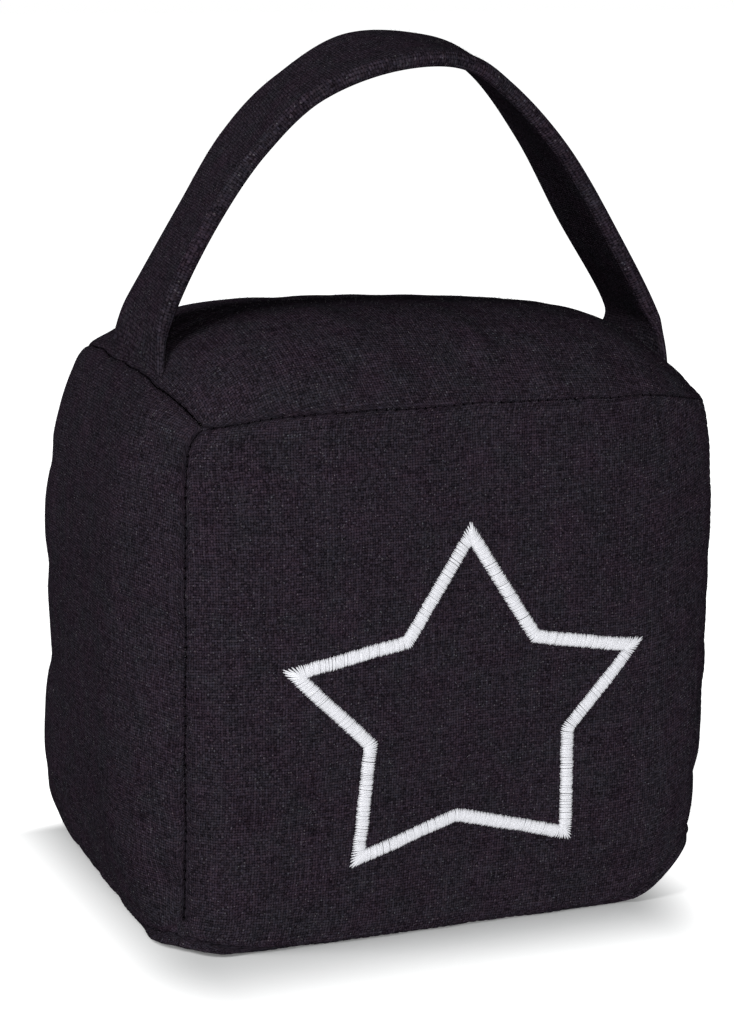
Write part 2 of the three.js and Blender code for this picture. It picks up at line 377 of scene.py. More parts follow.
    def wander(self, name: str, t: Array) -> Array:
        """How a hand-guided seam strays from its line.

        Args:
            name: The seam's name.
            t: Places along it, from -1 to 1.

        Returns:
            The offset at each place, across the seam.
        """
        by_name, by_order = self.stray_phase
        phase = by_name * len(name) + by_order * list(self.seams).index(name)
        seam = self.seams[name]
        across = np.ones(3)
        across[int(np.argmax(np.abs(self.corner(seam.end) - self.corner(seam.start))))] = 0
        wave = waving(self.stray_waves, t, phase)
        return (self.stray * wave * (1 - t**self.stray_end))[..., None] * across

    def lifted(self, seam: Seam, t: Array) -> Array:
        """How high a bottom seam is held up beside its corners by the folded cloth.

        Args:
            seam: The seam.
            t: Places along it, from -1 to 1.

        Returns:
            The height at each place.
        """
        runs_across = seam.start.endswith("left") and seam.end.endswith("right")
        half = self.half(0) if runs_across else self.half(1)
        rise = self.corner(seam.start)[2] * np.exp(-(((t + 1) * half / self.corner_fold) ** 2))
        return rise + self.corner(seam.end)[2] * np.exp(-(((1 - t) * half / self.corner_fold) ** 2))

    def room(self, u: Array, v: Array) -> Array:
        """How free a panel is to swell: 1 in its middle, 0 on its seams."""
        return (1 - np.abs(u) ** self.edge_power) * (1 - np.abs(v) ** self.edge_power)

    def panel_points(self, side: Side, u: Array, v: Array) -> Array:
        """Points of a crowned panel: the patch between its four seams, swollen in the middle.

        Args:
            side: Which panel.
            u: Places along its first axis, from -1 to 1.
            v: Places along its second axis.

        Returns:
            One point for each place, none below the floor.
        """
        plan = self.plans[side]
        share_u = ((u + 1) / 2)[..., None]
        share_v = ((v + 1) / 2)[..., None]
        low, high = plan.along
        first, last = plan.across
        ends = np.array([-1.0, 1.0])
        low_ends = self.seam_points(low, ends)
        high_ends = self.seam_points(high, ends)
        points = self.seam_points(low, u) * (1 - share_v) + self.seam_points(high, u) * share_v
        points += self.seam_points(first, v) * (1 - share_u) + self.seam_points(last, v) * share_u
        points -= (low_ends[0] * (1 - share_u) + low_ends[1] * share_u) * (1 - share_v)
        points -= (high_ends[0] * (1 - share_u) + high_ends[1] * share_u) * share_v
        swell = np.full_like(u, plan.crown)
        for lump in self.lumps:
            if lump.side is side:
                swell += lump.height * np.exp(-((u - lump.u) ** 2 + (v - lump.v) ** 2) / lump.size**2)
        points += np.array(plan.out, dtype=float) * (swell * self.room(u, v))[..., None]
        if side is Side.BOTTOM:
            points = self.rested(points, u, v)
        points[..., 2] = np.maximum(points[..., 2], 0)
        return points

    def rested(self, points: Array, u: Array, v: Array) -> Array:
        """Lay the bottom panel on the floor, with a rolled lip below each seam that is held up.

        Args:
            points: The panel's points as its seams give them.
            u: Their places along the panel's first axis.
            v: Their places along its second axis.

        Returns:
            The points as they rest.
        """
        plan = self.plans[Side.BOTTOM]
        height = np.zeros_like(u)
        borders = (
            (plan.along[0], u, v, 1, -1), (plan.along[1], u, v, 1, 1),
            (plan.across[0], v, u, 0, -1), (plan.across[1], v, u, 0, 1),
        )
        for name, place, toward, axis, sign in borders:
            held = self.seam_points(name, place)[..., 2]
            distance = (1 - sign * toward) * self.half(axis)
            slope = distance / (self.fold_slope * held + self.fold_foot)
            height = np.maximum(height, held * np.clip(1 - slope, 0, 1) ** 2)
            folded = np.clip(self.lifted(self.seams[name], place) / self.full_lip_lift, 0, 1)
            roll = np.sin(math.pi * np.clip((distance - self.lip_gap) / self.lip_width, 0, 1))
            along = (1 - np.abs(place)) * self.half(1 - axis)
            eased = np.clip(along / self.corner_ease, self.corner_lip, 1)
            points[..., axis] += sign * self.lip * roll * folded * eased
        points[..., 2] = height
        return points


@dataclass
class StuffingPress:
    """Cloth simulation of the whole block: the filling presses the panels out between seams."""

    form: StuffedForm
    cuts: int = 40
    frames: int = 22
    pressure: float = 2.5
    spare_cloth: float = 0.02
    calm: float = 0.5
    reach: float = 1.6
    plain_terms: int = 4
    quality: int = 6
    cloth_mass: float = 0.2
    tension: float = 20.0
    compression: float = 12.0
    shear: float = 6.0
    bending: float = 0.6

    def side_masks(self, cube: Array) -> dict[Side, Array]:
        """Which vertices of the cut cube lie on each panel, borders included.

        Args:
            cube: The vertices of the cube.

        Returns:
            One mask for each panel.
        """
        masks = {}
        for side, plan in self.form.plans.items():
            axis = int(np.argmax(np.abs(plan.out)))
            masks[side] = np.abs(cube[:, axis] - sum(plan.out)) < TOUCHING
        return masks

    def swollen(self) -> dict[Side, Array]:
        """Run the simulation and return how far each panel moved.

        Returns:
            For each panel, a square grid of offsets in millimetres, u first.
        """
        block = cut_cube("stuffing_press", self.cuts)
        cube = np.round(coordinates(block) * self.cuts / 2) * 2 / self.cuts
        start = np.zeros_like(cube)
        masks = self.side_masks(cube)
        for side, mask in masks.items():
            first, second = self.form.plans[side].axes
            start[mask] = self.form.panel_points(side, cube[mask, first], cube[mask, second])
        set_coordinates(block, start * MM)
        on_seam = (np.abs(np.abs(cube) - 1) < TOUCHING).sum(axis=1) > 1
        moved = self.simulate(block, on_seam) / MM
        offset = (moved - start) * self.calm
        length = np.linalg.norm(offset, axis=1, keepdims=True)
        offset *= self.reach * np.tanh(length / self.reach) / np.maximum(length, NO_ZERO)
        grids = {}
        for side, mask in masks.items():
            first, second = self.form.plans[side].axes
            even = self.plain_part(cube[mask, first], cube[mask, second], offset[mask])
            grids[side] = self.as_grid(side, cube[mask], offset[mask] - even)
        bpy.data.objects.remove(block)
        return grids

    def plain_part(self, u: Array, v: Array, offset: Array) -> Array:
        """The smooth swelling within the offsets, which the form has already.

        Args:
            u: Places along the panel's first axis.
            v: Places along its second axis.
            offset: How far the cloth moved at each place.

        Returns:
            The smooth part of the move at each place.
        """
        room = self.form.room(u, v)
        powers = [(i, j) for i in range(self.plain_terms) for j in range(self.plain_terms - i)]
        basis = np.stack([room * u**i * v**j for i, j in powers], axis=1)
        weights, *_ = np.linalg.lstsq(basis, offset, rcond=None)
        return basis @ weights

    def simulate(self, block: bpy.types.Object, on_seam: Array) -> Array:
        """Press the cloth out with its seams held.

        Args:
            block: The cut cube, laid on the stuffed form.
            on_seam: Which of its vertices are held.

        Returns:
            The vertices after the last frame, in metres.
        """
        make_active(block)
        group = block.vertex_groups.new(name="seams")
        group.add([int(i) for i in np.flatnonzero(on_seam)], 1.0, "REPLACE")
        cloth = block.modifiers.new("cloth", "CLOTH")
        settings = cloth.settings
        settings.quality = self.quality
        settings.mass = self.cloth_mass
        settings.tension_stiffness = self.tension
        settings.compression_stiffness = self.compression
        settings.shear_stiffness = self.shear
        settings.bending_stiffness = self.bending
        settings.shrink_min = -self.spare_cloth
        settings.use_pressure = True
        settings.uniform_pressure_force = self.pressure
        settings.effector_weights.gravity = 0
        settings.vertex_group_mass = group.name
        cloth.point_cache.frame_start = 1
        cloth.point_cache.frame_end = self.frames
        scene = bpy.context.scene
        for step in range(1, self.frames + 1):
            scene.frame_set(step)
        apply_modifiers(block)
        scene.frame_set(1)
        return coordinates(block)

    def as_grid(self, side: Side, cube: Array, offset: Array) -> Array:
        """Sort a panel's offsets into a square grid.

        Args:
            side: Which panel.
            cube: Its vertices on the cut cube.
            offset: The offset of each.

        Returns:
            The offsets by column and row.
        """
        first, second = self.form.plans[side].axes
        column = np.round((cube[:, first] + 1) * self.cuts / 2).astype(int)
        row = np.round((cube[:, second] + 1) * self.cuts / 2).astype(int)
        grid = np.zeros((self.cuts + 1, self.cuts + 1, 3))
        grid[column, row] = offset
        return grid


def cubic_weights(places: Array, count: int) -> Array:
    """Weights that read a row of evenly spaced values smoothly.

    Args:
        places: Where to read, from -1 to 1 over the row.
        count: The number of values in the row.

    Returns:
        A matrix with one row for each place and one column for each value.
    """
    spot = (places + 1) / 2 * (count - 1)
    base = np.clip(np.floor(spot).astype(int), 0, count - 2)
    t = spot - base
    spline = [
        (-t + 2 * t**2 - t**3) / 2,
        (2 - 5 * t**2 + 3 * t**3) / 2,
        (t + 4 * t**2 - 3 * t**3) / 2,
        (t**3 - t**2) / 2,
    ]
    weights = np.zeros((len(places), count))
    for step, part in enumerate(spline):
        column = np.clip(base + step - 1, 0, count - 1)
        np.add.at(weights, (np.arange(len(places)), column), part)
    return weights


@dataclass
class ClothSkin:
    """The outer face of a finished cloth piece, for what lies on it."""

    points: Array
    middle: tuple[float, float, float] = (0.0, 0.0, 67.0)

    def sample(self, count: int, rng: np.random.Generator) -> tuple[Array, Array]:
        """Choose places on the cloth evenly.

        Args:
            count: How many places.
            rng: The source of chance.

        Returns:
            The places, and the way out of the cloth at each.
        """
        first = self.points[1:, :-1] - self.points[:-1, :-1]
        second = self.points[:-1, 1:] - self.points[:-1, :-1]
        facing = np.cross(first, second)
        area = np.linalg.norm(facing, axis=2)
        chosen = rng.choice(area.size, size=count, p=(area / area.sum()).ravel())
        row, column = np.unravel_index(chosen, area.shape)
        s, t = rng.random((2, count, 1))
        place = self.points[row, column] + first[row, column] * s + second[row, column] * t
        normal = facing[row, column] / (area[row, column][:, None] + NO_ZERO)
        outward = np.sum(normal * (place - np.array(self.middle)), axis=1, keepdims=True)
        return place, normal * np.sign(outward)

    def area(self) -> float:
        """The area of the cloth in square millimetres."""
        first = self.points[1:, :-1] - self.points[:-1, :-1]
        second = self.points[:-1, 1:] - self.points[:-1, :-1]
        return float(np.linalg.norm(np.cross(first, second), axis=2).sum())


@dataclass
class CanvasPanel:
    """One cut canvas panel of the block, rolled into its seams; its lengths are in millimetres."""

    form: StuffedForm
    side: Side
    offsets: Array
    node: str
    cloth: float = 0.8
    tuck: float = 0.8
    roll: float = 1.9
    crease: float = 0.13
    hole_crease: float = 0.14
    allowance: tuple[float, ...] = (0.5, 1.3, 2.6, 4.2)
    seam_lines: tuple[float, ...] = (0.0, 0.12, 0.3, 0.55, 0.85, 1.2, 1.65, 2.2, 3.0, 4.0)
    spacing: float = 0.8
    skin_margin: int = 2
    needle: float = NEEDLE_STEP
    hole_power: int = 8
    pit: float = 0.5
    pit_reach: float = 0.8
    pucker: float = 0.16
    pucker_start: float = 0.6
    pucker_reach: float = 3.2
    pucker_phase: tuple[float, float, float] = (1.7, 2.9, 0.8)
    pucker_waves: tuple[Wave, ...] = (
        Wave(0.5, 1 / 4.1, 1), Wave(0.35, 1 / 2.3, 2.1), Wave(0.3, 1 / 1.37, 3.7),
    )
    dent_start: float = 1.2
    dents: tuple[Lump, ...] = (
        Lump(Side.LEFT, -49.0, -55.0, 6.0, -2.2),
        Lump(Side.FRONT, 66.0, -50.0, 5.0, -1.2),
        Lump(Side.FRONT, 67.5, 58.0, 2.6, -1.0),
        Lump(Side.TOP, 66.0, -51.0, 2.4, -0.9),
    )
    skin: ClothSkin | None = None
    seed: int = 1

    def lines(self, axis: int) -> tuple[Array, Array]:
        """Mesh lines across the panel along one axis.

        Args:
            axis: The axis.

        Returns:
            The place of each line, from -1 to 1, and how deep it lies in the seam allowance.
        """
        half = self.form.half(axis)
        inner = half - self.seam_lines[-1]
        count = math.ceil(2 * inner / self.spacing)
        even = np.linspace(-inner, inner, count + 1)[1:-1]
        outer = half - np.array(self.seam_lines)
        place = np.concatenate([-outer, even, outer[::-1]]) / half
        deep = np.array(self.allowance)
        rim = np.ones(len(deep))
        place = np.concatenate([-rim, place, rim])
        depth = np.concatenate([deep[::-1], np.zeros(len(place) - 2 * len(deep)), deep])
        return place, depth

    def cloth_at(self, first: Array, second: Array) -> Array:
        """Points of the pressed cloth.

        Args:
            first: Places on the flat panel along its first axis, in millimetres.
            second: Places along its second axis.

        Returns:
            One point for each place.
        """
        axes = self.form.plans[self.side].axes
        u = first / self.form.half(axes[0])
        v = second / self.form.half(axes[1])
        count = self.offsets.shape[0]
        near_u = cubic_weights(u.ravel(), count)
        near_v = cubic_weights(v.ravel(), count)
        moved = np.einsum("na,nb,abk->nk", near_u, near_v, self.offsets, optimize=True)
        return self.form.panel_points(self.side, u, v) + moved.reshape(*u.shape, 3)

    def rolled(self, axis: int, place: Array, depth: Array, along: Array) -> Array:
        """How the cloth turns down into the two seams at the ends of one axis.

        Args:
            axis: The axis.
            place: The points' places along it, from -1 to 1.
            depth: How deep each point lies in the seam allowance.
            along: The points' places along the seams.

        Returns:
            The offset of each point, with the pits of the needle holes and the puckers.
        """
        out = np.array(self.form.plans[self.side].out, dtype=float)
        facing = -np.sign(place)[..., None] * np.eye(3)[axis]
        dive = (facing - out) / math.sqrt(2)
        apart = (facing + out) / math.sqrt(2)
        distance = (1 - np.abs(place)) * self.form.half(axis)
        across = np.clip(1 - distance / self.roll, 0, 1)
        drawn = 1 - np.sqrt(1 - across**2)
        beat = np.cos(math.pi * along / self.needle) ** self.hole_power
        pulled = self.pit * beat * np.exp(-distance / self.pit_reach)
        moved = dive * (self.tuck * drawn + depth + pulled)[..., None]
        moved = moved + apart * ((self.crease + self.hole_crease * beat) * across)[..., None]
        by_seed, by_axis, by_end = self.pucker_phase
        phase = self.seed * by_seed + axis * by_axis + np.sign(place) * by_end
        wave = waving(self.pucker_waves, along, phase)
        reach = np.exp(-distance / self.pucker_reach) * (1 - np.exp(-distance / self.pucker_start))
        return moved + out * (self.pucker * wave * reach)[..., None]

    def dented(self, across: Array, up: Array) -> Array:
        """The small hollows pressed into the panel, which fade towards its seams.

        Args:
            across: Places along the panel's first axis.
            up: Places along its second axis.

        Returns:
            The offset of each point.
        """
        plan = self.form.plans[self.side]
        half_u, half_v = (self.form.half(axis) for axis in plan.axes)
        nearest = np.minimum(half_u - np.abs(across), half_v - np.abs(up))
        height = np.zeros_like(across)
        for dent in self.dents:
            if dent.side is self.side:
                spread = ((across - dent.u) ** 2 + (up - dent.v) ** 2) / dent.size**2
                height += dent.height * np.exp(-spread)
        height *= 1 - np.exp(-nearest / self.dent_start)
        return np.array(plan.out, dtype=float) * height[..., None]

    def points(self, u: Array, v: Array, depth_u: Array, depth_v: Array) -> Array:
        """The cloth's outer face over the whole cut panel.

        Args:
            u: The mesh lines along the panel's first axis, from -1 to 1.
            v: Those along its second axis.
            depth_u: How deep each of the first lines lies in the seam allowance.
            depth_v: How deep each of the second lines lies there.

        Returns:
            The points by column and row, none below the floor.
        """
        first, second = self.form.plans[self.side].axes
        grid_u, grid_v = np.meshgrid(u, v, indexing="ij")
        across, up = grid_u * self.form.half(first), grid_v * self.form.half(second)
        count = self.offsets.shape[0]
        moved = np.einsum("ia,abk->ibk", cubic_weights(u, count), self.offsets)
        points = self.form.panel_points(self.side, grid_u, grid_v)
        points += np.einsum("jb,ibk->ijk", cubic_weights(v, count), moved)
        points += self.rolled(first, grid_u, depth_u[:, None], up)
        points += self.rolled(second, grid_v, depth_v[None, :], across)
        points += self.dented(across, up)
        points[..., 2] = np.maximum(points[..., 2], 0)
        return points

    def flat_places(self, points: Array) -> Array:
        """Where each point lies on the flat cloth: its run along its own two threads.

        Args:
            points: The panel's points by column and row.

        Returns:
            A pair of lengths for each point, from the panel's middle threads.
        """
        runs = []
        for axis in (0, 1):
            step = np.linalg.norm(np.diff(points, axis=axis), axis=2)
            first = np.zeros_like(np.take(step, [0], axis=axis))
            run = np.concatenate([first, step], axis=axis).cumsum(axis=axis)
            runs.append(run - np.take(run, [points.shape[axis] // 2], axis=axis))
        return np.stack(runs, axis=-1)

    def build(self) -> bpy.types.Object:
        """Model the panel as cloth with a thickness.

        Returns:
            The finished piece; its outer face is kept as the panel's skin.
        """
        plan = self.form.plans[self.side]
        first, second = plan.axes
        u, depth_u = self.lines(first)
        v, depth_v = self.lines(second)
        points = self.points(u, v, depth_u, depth_v)
        flat = self.flat_places(points)
        edge = len(self.allowance) + self.skin_margin
        self.skin = ClothSkin(points[edge:-edge, edge:-edge])
        piece = grid_piece(f"canvas_{self.side.value}", len(u), len(v))
        set_coordinates(piece, points.transpose(1, 0, 2).reshape(-1, 3) * MM)
        if plan.mirrored:
            with edit_mode(piece):
                bpy.ops.mesh.flip_normals()
        set_uv(piece, flat.transpose(1, 0, 2).reshape(-1, 2) * MM)
        wall = piece.modifiers.new("cloth", "SOLIDIFY")
        wall.thickness = self.cloth * MM
        wall.offset = -1
        apply_modifiers(piece)
        shade_smooth(piece, CLOTH_ANGLE)
        finish_piece(piece, self.node)
        return piece


@dataclass
class HandleStrap:
    """The folded canvas strap, sewn into the two top side seams; lengths are in millimetres.

    The stops of its centre line are shares: of half the block's width and depth, and of the rise.
    Each of its two feet has a place along its seam, a lean in degrees and a flare.
    """

    form: StuffedForm
    width: float = 34.0
    thickness: float = 4.2
    rise: float = 78.6
    draw: float = 0.993
    feet: tuple[float, float] = (-5.5, -19.0)
    leans: tuple[float, float] = (16.0, 24.0)
    stops: tuple[tuple[float, float, float], ...] = (
        (-0.956, -0.167, 0.22), (-0.799, -0.213, 0.48), (-0.635, -0.259, 0.705),
        (-0.445, -0.343, 0.88), (-0.19, -0.389, 0.99), (0.1, -0.37, 0.997), (0.331, -0.343, 0.908),
        (0.556, -0.343, 0.69), (0.749, -0.361, 0.41), (0.956, -0.37, 0.096),
    )
    twists: tuple[float, ...] = (4, -3, -5, -2, 1, 9, 8, 12, 8, 5, 7, 6)
    steps: int = 230
    fine_steps: int = 1200
    around: int = 84
    sunk: float = 2.0
    seat: float = 0.9
    blend: float = 10.0
    opened: float = 0.6
    fold_round: float = 0.95
    flares: tuple[float, float] = (9.5, 3.2)
    flare_reach: float = 5.0
    flare_power: float = 1.5
    thinning: float = 0.65
    thin_reach: float = 7.0
    foot_tuck: float = 0.45
    tuck_reach: float = 1.6
    skin: ClothSkin | None = None

    def foot(self, side: int, across: float, through: float, tuck: float = 0.0) -> Vector:
        """A point of the strap's end where it goes into the seam.

        Args:
            side: Which foot: -1 is the left one and 1 the right one.
            across: The point's place across the strap.
            through: Its place through the strap.
            tuck: How much further the point is drawn in.

        Returns:
            The point on the top panel.
        """
        inward = self.seat + tuck + self.thickness / 2 - through
        u = np.array([side * (1 - inward / self.form.half(0))])
        place = self.feet[0 if side < 0 else 1]
        v = np.array([(place + across) / self.form.half(1)])
        return Vector(self.form.panel_points(Side.TOP, u, v)[0])

    def leg(self, side: int) -> Vector:
        """The direction in which a leg leaves its foot."""
        lean = math.radians(self.leans[0 if side < 0 else 1])
        return Vector((-side * math.sin(lean), 0, math.cos(lean)))

    def smooth_line(self, knots: Array, share: Array) -> Array:
        """Read a smooth line through evenly spaced knots.

        Args:
            knots: The values at the knots, one row for each.
            share: Where to read, from 0 to 1 along the line.

        Returns:
            The value at each place.
        """
        padded = np.vstack([2 * knots[0] - knots[1], knots, 2 * knots[-1] - knots[-2]])
        spot = share * (len(knots) - 1)
        base = np.clip(np.floor(spot).astype(int), 0, len(knots) - 2)
        t = (spot - base)[:, None]
        a, b, c, d = (padded[base + k] for k in range(4))
        square = (2 * a - 5 * b + 4 * c - d) * t**2
        return (2 * b + (c - a) * t + square + (3 * b - a - 3 * c + d) * t**3) / 2

    def path(self) -> tuple[Array, Array, Array]:
        """The centre line from foot to foot.

        Returns:
            Evenly spaced points, with the direction and the twist in radians at each.
        """
        left = np.array(self.foot(-1, 0, 0))
        right = np.array(self.foot(1, 0, 0))
        low = (left[2] + right[2]) / 2
        half_x, half_y = self.form.half(0), self.form.half(1)
        between = [(x * self.draw * half_x, y * half_y, low + up * self.rise) for x, y, up in self.stops]
        knots = np.array([left, *between, right])
        fine = np.linspace(0, 1, self.fine_steps)
        line = self.smooth_line(knots, fine)
        run = np.concatenate([[0.0], np.cumsum(np.linalg.norm(np.diff(line, axis=0), axis=1))])
        share = np.interp(np.linspace(0, run[-1], self.steps + 1), run, fine)
        even = self.smooth_line(knots, share)
        slope = np.gradient(even, axis=0)
        slope /= np.linalg.norm(slope, axis=1, keepdims=True)
        twist = self.smooth_line(np.radians(self.twists)[:, None], share)[:, 0]
        return even, slope, twist

    def section(self) -> list[tuple[float, float, float]]:
        """The folded section, its first point given again as its last.

        Returns:
            For each point its place across, its place through and the way round to it on the
            cloth.
        """
        half_thick = self.thickness / 2
        fold = half_thick * self.fold_round
        flat = self.width / 2 - fold
        quarter = self.around // 4
        shares = [k / quarter for k in range(quarter)]
        ring = []
        for side in (1, -1):
            ring += [(side * flat * (2 * share - 1), side * half_thick) for share in shares]
            for share in shares:
                angle = math.pi * (side / 2 - share)
                ring.append((side * flat + fold * math.cos(angle), half_thick * math.sin(angle)))
        ring.append(ring[0])
        placed = []
        run = -flat
        for here, there in zip(ring, ring[1:] + ring[-1:]):
            placed.append((here[0], here[1], run))
            opened = self.opened if abs(here[0]) > flat and abs(there[0]) > flat else 1.0
            run += math.dist(here, there) * opened
        return placed

    def band(self) -> tuple[Array, Array, float]:
        """The face of the folded band, from one end in its seam to the other.

        Returns:
            Its points ring by ring, their places on the flat band, and the band's length.
        """
        centres, tangents, twists = self.path()
        section = self.section()
        length = float(np.linalg.norm(np.diff(centres, axis=0), axis=1).sum())
        points = []
        places = []
        for index, (middle, along, twist) in enumerate(zip(centres, tangents, twists)):
            share = index / self.steps
            centre, tangent = Vector(middle), Vector(along)
            level = (Vector((0, 1, 0)) - tangent * tangent.y).normalized()
            outward = tangent.cross(level)
            wide = level * math.cos(twist) + outward * math.sin(twist)
            out = outward * math.cos(twist) - level * math.sin(twist)
            side = -1 if share < 0.5 else 1
            from_foot = length * min(share, 1 - share)
            free = min(from_foot / self.blend, 1.0)
            free = free * free * (3 - 2 * free)
            above = max(from_foot - self.sunk, 0.0)
            flare = self.flares[0 if side < 0 else 1] * math.exp(-((above / self.flare_reach) ** 2))
            tuck = self.foot_tuck * math.exp(-above / self.tuck_reach)
            thinned = math.exp(-((above / self.thin_reach) ** 2))
            for across, through, run in section:
                near = max(-across * 2 / self.width, 0.0) ** self.flare_power
                through += (self.thickness / 2 - through) * self.thinning * thinned * near
                on_arch = centre + wide * (across - flare * near) + out * through
                at_foot = self.foot(side, across - flare * near, through, tuck)
                at_foot += self.leg(side) * (from_foot - self.sunk)
                points.append(tuple(at_foot.lerp(on_arch, free)))
                places.append((run, share * length))
        return np.array(points), np.array(places), length

    def build(self) -> bpy.types.Object:
        """Model the strap as one closed band of folded cloth.

        Returns:
            The finished piece; its upper face is kept as the strap's skin.
        """
        points, places, length = self.band()
        rings = points.reshape(self.steps + 1, -1, 3)
        self.skin = ClothSkin(rings[:, : self.around // 2])
        piece = grid_piece("folded_strap", rings.shape[1], self.steps + 1)
        set_coordinates(piece, points * MM)
        set_uv(piece, places * MM)
        with edit_mode(piece):
            bpy.ops.mesh.remove_doubles(threshold=MERGE * MM)
            bpy.ops.mesh.select_all(action="DESELECT")
            bpy.ops.mesh.select_non_manifold()
            bpy.ops.mesh.fill()
            bpy.ops.mesh.select_all(action="SELECT")
            bpy.ops.mesh.normals_make_consistent(inside=False)
        shade_smooth(piece, CLOTH_ANGLE)
        finish_piece(piece, "handle_strap")
        return piece


@dataclass
class StarStitching:
    """The star outline on the front panel, in satin stitch of real thread."""

    form: StuffedForm
    panel: CanvasPanel
    centre: tuple[float, float] = (-2.85, -10.5)
    outline: tuple[tuple[float, float], ...] = (
        (0.5, 44.7), (18, 17), (44.8, 12.4), (27.2, -7.8), (28.3, -35.5),
        (-1.5, -27.3), (-27.3, -35.2), (-24.6, -6.2), (-43.7, 13.7), (-15.7, 19.1),
    )
    band: float = 3.3
    pitch: float = 0.42
    thread: float = 0.24
    thread_taper: tuple[float, float] = (0.7, 0.4)
    thread_spread: tuple[float, float] = (0.85, 1.12)
    loft: float = 0.6
    loft_power: float = 0.55
    loft_spread: tuple[float, float] = (0.9, 1.1)
    rooted: float = 0.12
    slant: float = 0.12
    turn: float = 1.2
    raggedness: float = 0.17
    ragged_ends: tuple[float, float] = (-0.35, 1.0)
    slip: float = 0.07
    probe: float = 0.5
    seed: int = 11
    sides: int = 5
    bends: int = 6

    def front(self, x: Array, z: Array, height: Array) -> Array:
        """Points above the front panel's cloth, from their places on the flat panel.

        Args:
            x: Places across the panel, in millimetres.
            z: Places up the panel.
            height: How high above the cloth each point is.

        Returns:
            One point for each place.
        """
        here = self.panel.cloth_at(x, z)
        right = self.panel.cloth_at(x + self.probe, z)
        up = self.panel.cloth_at(x, z + self.probe)
        normal = np.cross(right - here, up - here)
        normal /= np.linalg.norm(normal, axis=-1, keepdims=True)
        return here + normal * height[..., None]

    def stations(self) -> tuple[Array, Array]:
        """Where the stitches cross the star's line, on the flat panel.

        Returns:
            The place of each stitch, and how it leans: mitred at the corners of the star.
        """
        corners = np.array(self.outline) + np.array(self.centre)
        onward = np.roll(corners, -1, axis=0) - corners
        length = np.linalg.norm(onward, axis=1)
        onward /= length[:, None]
        bisector = onward + np.roll(onward, 1, axis=0)
        bisector /= np.linalg.norm(bisector, axis=1, keepdims=True)
        slant = np.sum(bisector * onward, axis=1, keepdims=True)
        mitre = np.stack([-bisector[:, 1], bisector[:, 0]], axis=1) / slant
        places = []
        leans = []
        for index, corner in enumerate(corners):
            steps = round(length[index] / self.pitch)
            share = (np.arange(steps) + 0.5) / steps
            plain = np.array([-onward[index][1], onward[index][0]]) + self.slant * onward[index]
            near_start = np.exp(-share * length[index] / self.turn)[:, None]
            near_end = np.exp(-(1 - share) * length[index] / self.turn)[:, None]
            lean = plain * (1 - near_start) + mitre[index] * near_start
            lean = lean * (1 - near_end) + mitre[(index + 1) % len(corners)] * near_end
            places.append(corner + onward[index] * (share * length[index])[:, None])
            leans.append(lean)
        return np.concatenate(places), np.concatenate(leans)

    def build(self) -> bpy.types.Object:
        """Model every satin stitch as a thin bent thread of its own.

        Returns:
            The finished piece.
        """
        rng = np.random.default_rng(self.seed)
        place, lean = self.stations()
        count = len(place)
        ragged = rng.uniform(*self.ragged_ends, (count, 2)) * self.raggedness
        start = -self.band / 2 - ragged[:, :1]
        stop = self.band / 2 + ragged[:, 1:]
        share = np.linspace(0, 1, self.bends + 1)[None]
        slip = rng.uniform(-self.slip, self.slip, (count, 1, 2))
        spot = place[:, None] + slip + lean[:, None] * (start + (stop - start) * share)[..., None]
        arch = np.sin(math.pi * share) ** self.loft_power
        height = self.loft * arch * rng.uniform(*self.loft_spread, (count, 1)) - self.rooted
        runs = self.front(spot[..., 0], spot[..., 1], height)
        least, more = self.thread_taper
        thick = self.thread * (least + more * arch) * rng.uniform(*self.thread_spread, (count, 1))
        piece = thread_bundle("satin_star", runs, thick, self.sides)
        finish_piece(piece, "star_embroidery")
        return piece


def thread_bundle(name: str, runs: Array, thick: Array, sides: int) -> bpy.types.Object:
    """Model one thread, copy it, and lay each copy along its own run.

    Args:
        name: The piece's name.
        runs: The centre line of each thread, in millimetres: threads by bends by three.
        thick: The radius at each of those points.
        sides: The number of faces round a thread.

    Returns:
        One piece that holds all the threads.
    """
    count, bends = runs.shape[0], runs.shape[1] - 1
    deselect_all()
    bpy.ops.mesh.primitive_cylinder_add(vertices=sides, radius=1, depth=2)
    piece = named(name)
    with edit_mode(piece):
        bpy.ops.mesh.subdivide(number_cuts=bends - 1)
    one = coordinates(piece)
    copies = piece.modifiers.new("copies", "ARRAY")
    copies.count = count
    copies.use_relative_offset = False
    apply_modifiers(piece)
    along = np.gradient(runs, axis=1)
    along /= np.linalg.norm(along, axis=2, keepdims=True) + NO_ZERO
    aside = np.cross(along, np.array(FOUND_WAY))
    aside /= np.linalg.norm(aside, axis=2, keepdims=True) + NO_ZERO
    above = np.cross(along, aside)
    bend = np.round((one[:, 2] + 1) / 2 * bends).astype(int)
    ring = aside[:, bend] * one[:, 0, None] + above[:, bend] * one[:, 1, None]
    placed = runs[:, bend] + ring * thick[:, bend, None]
    set_coordinates(piece, placed.reshape(-1, 3) * MM)
    with edit_mode(piece):
        bpy.ops.mesh.normals_make_consistent(inside=False)
    bpy.ops.object.shade_smooth()
    return piece


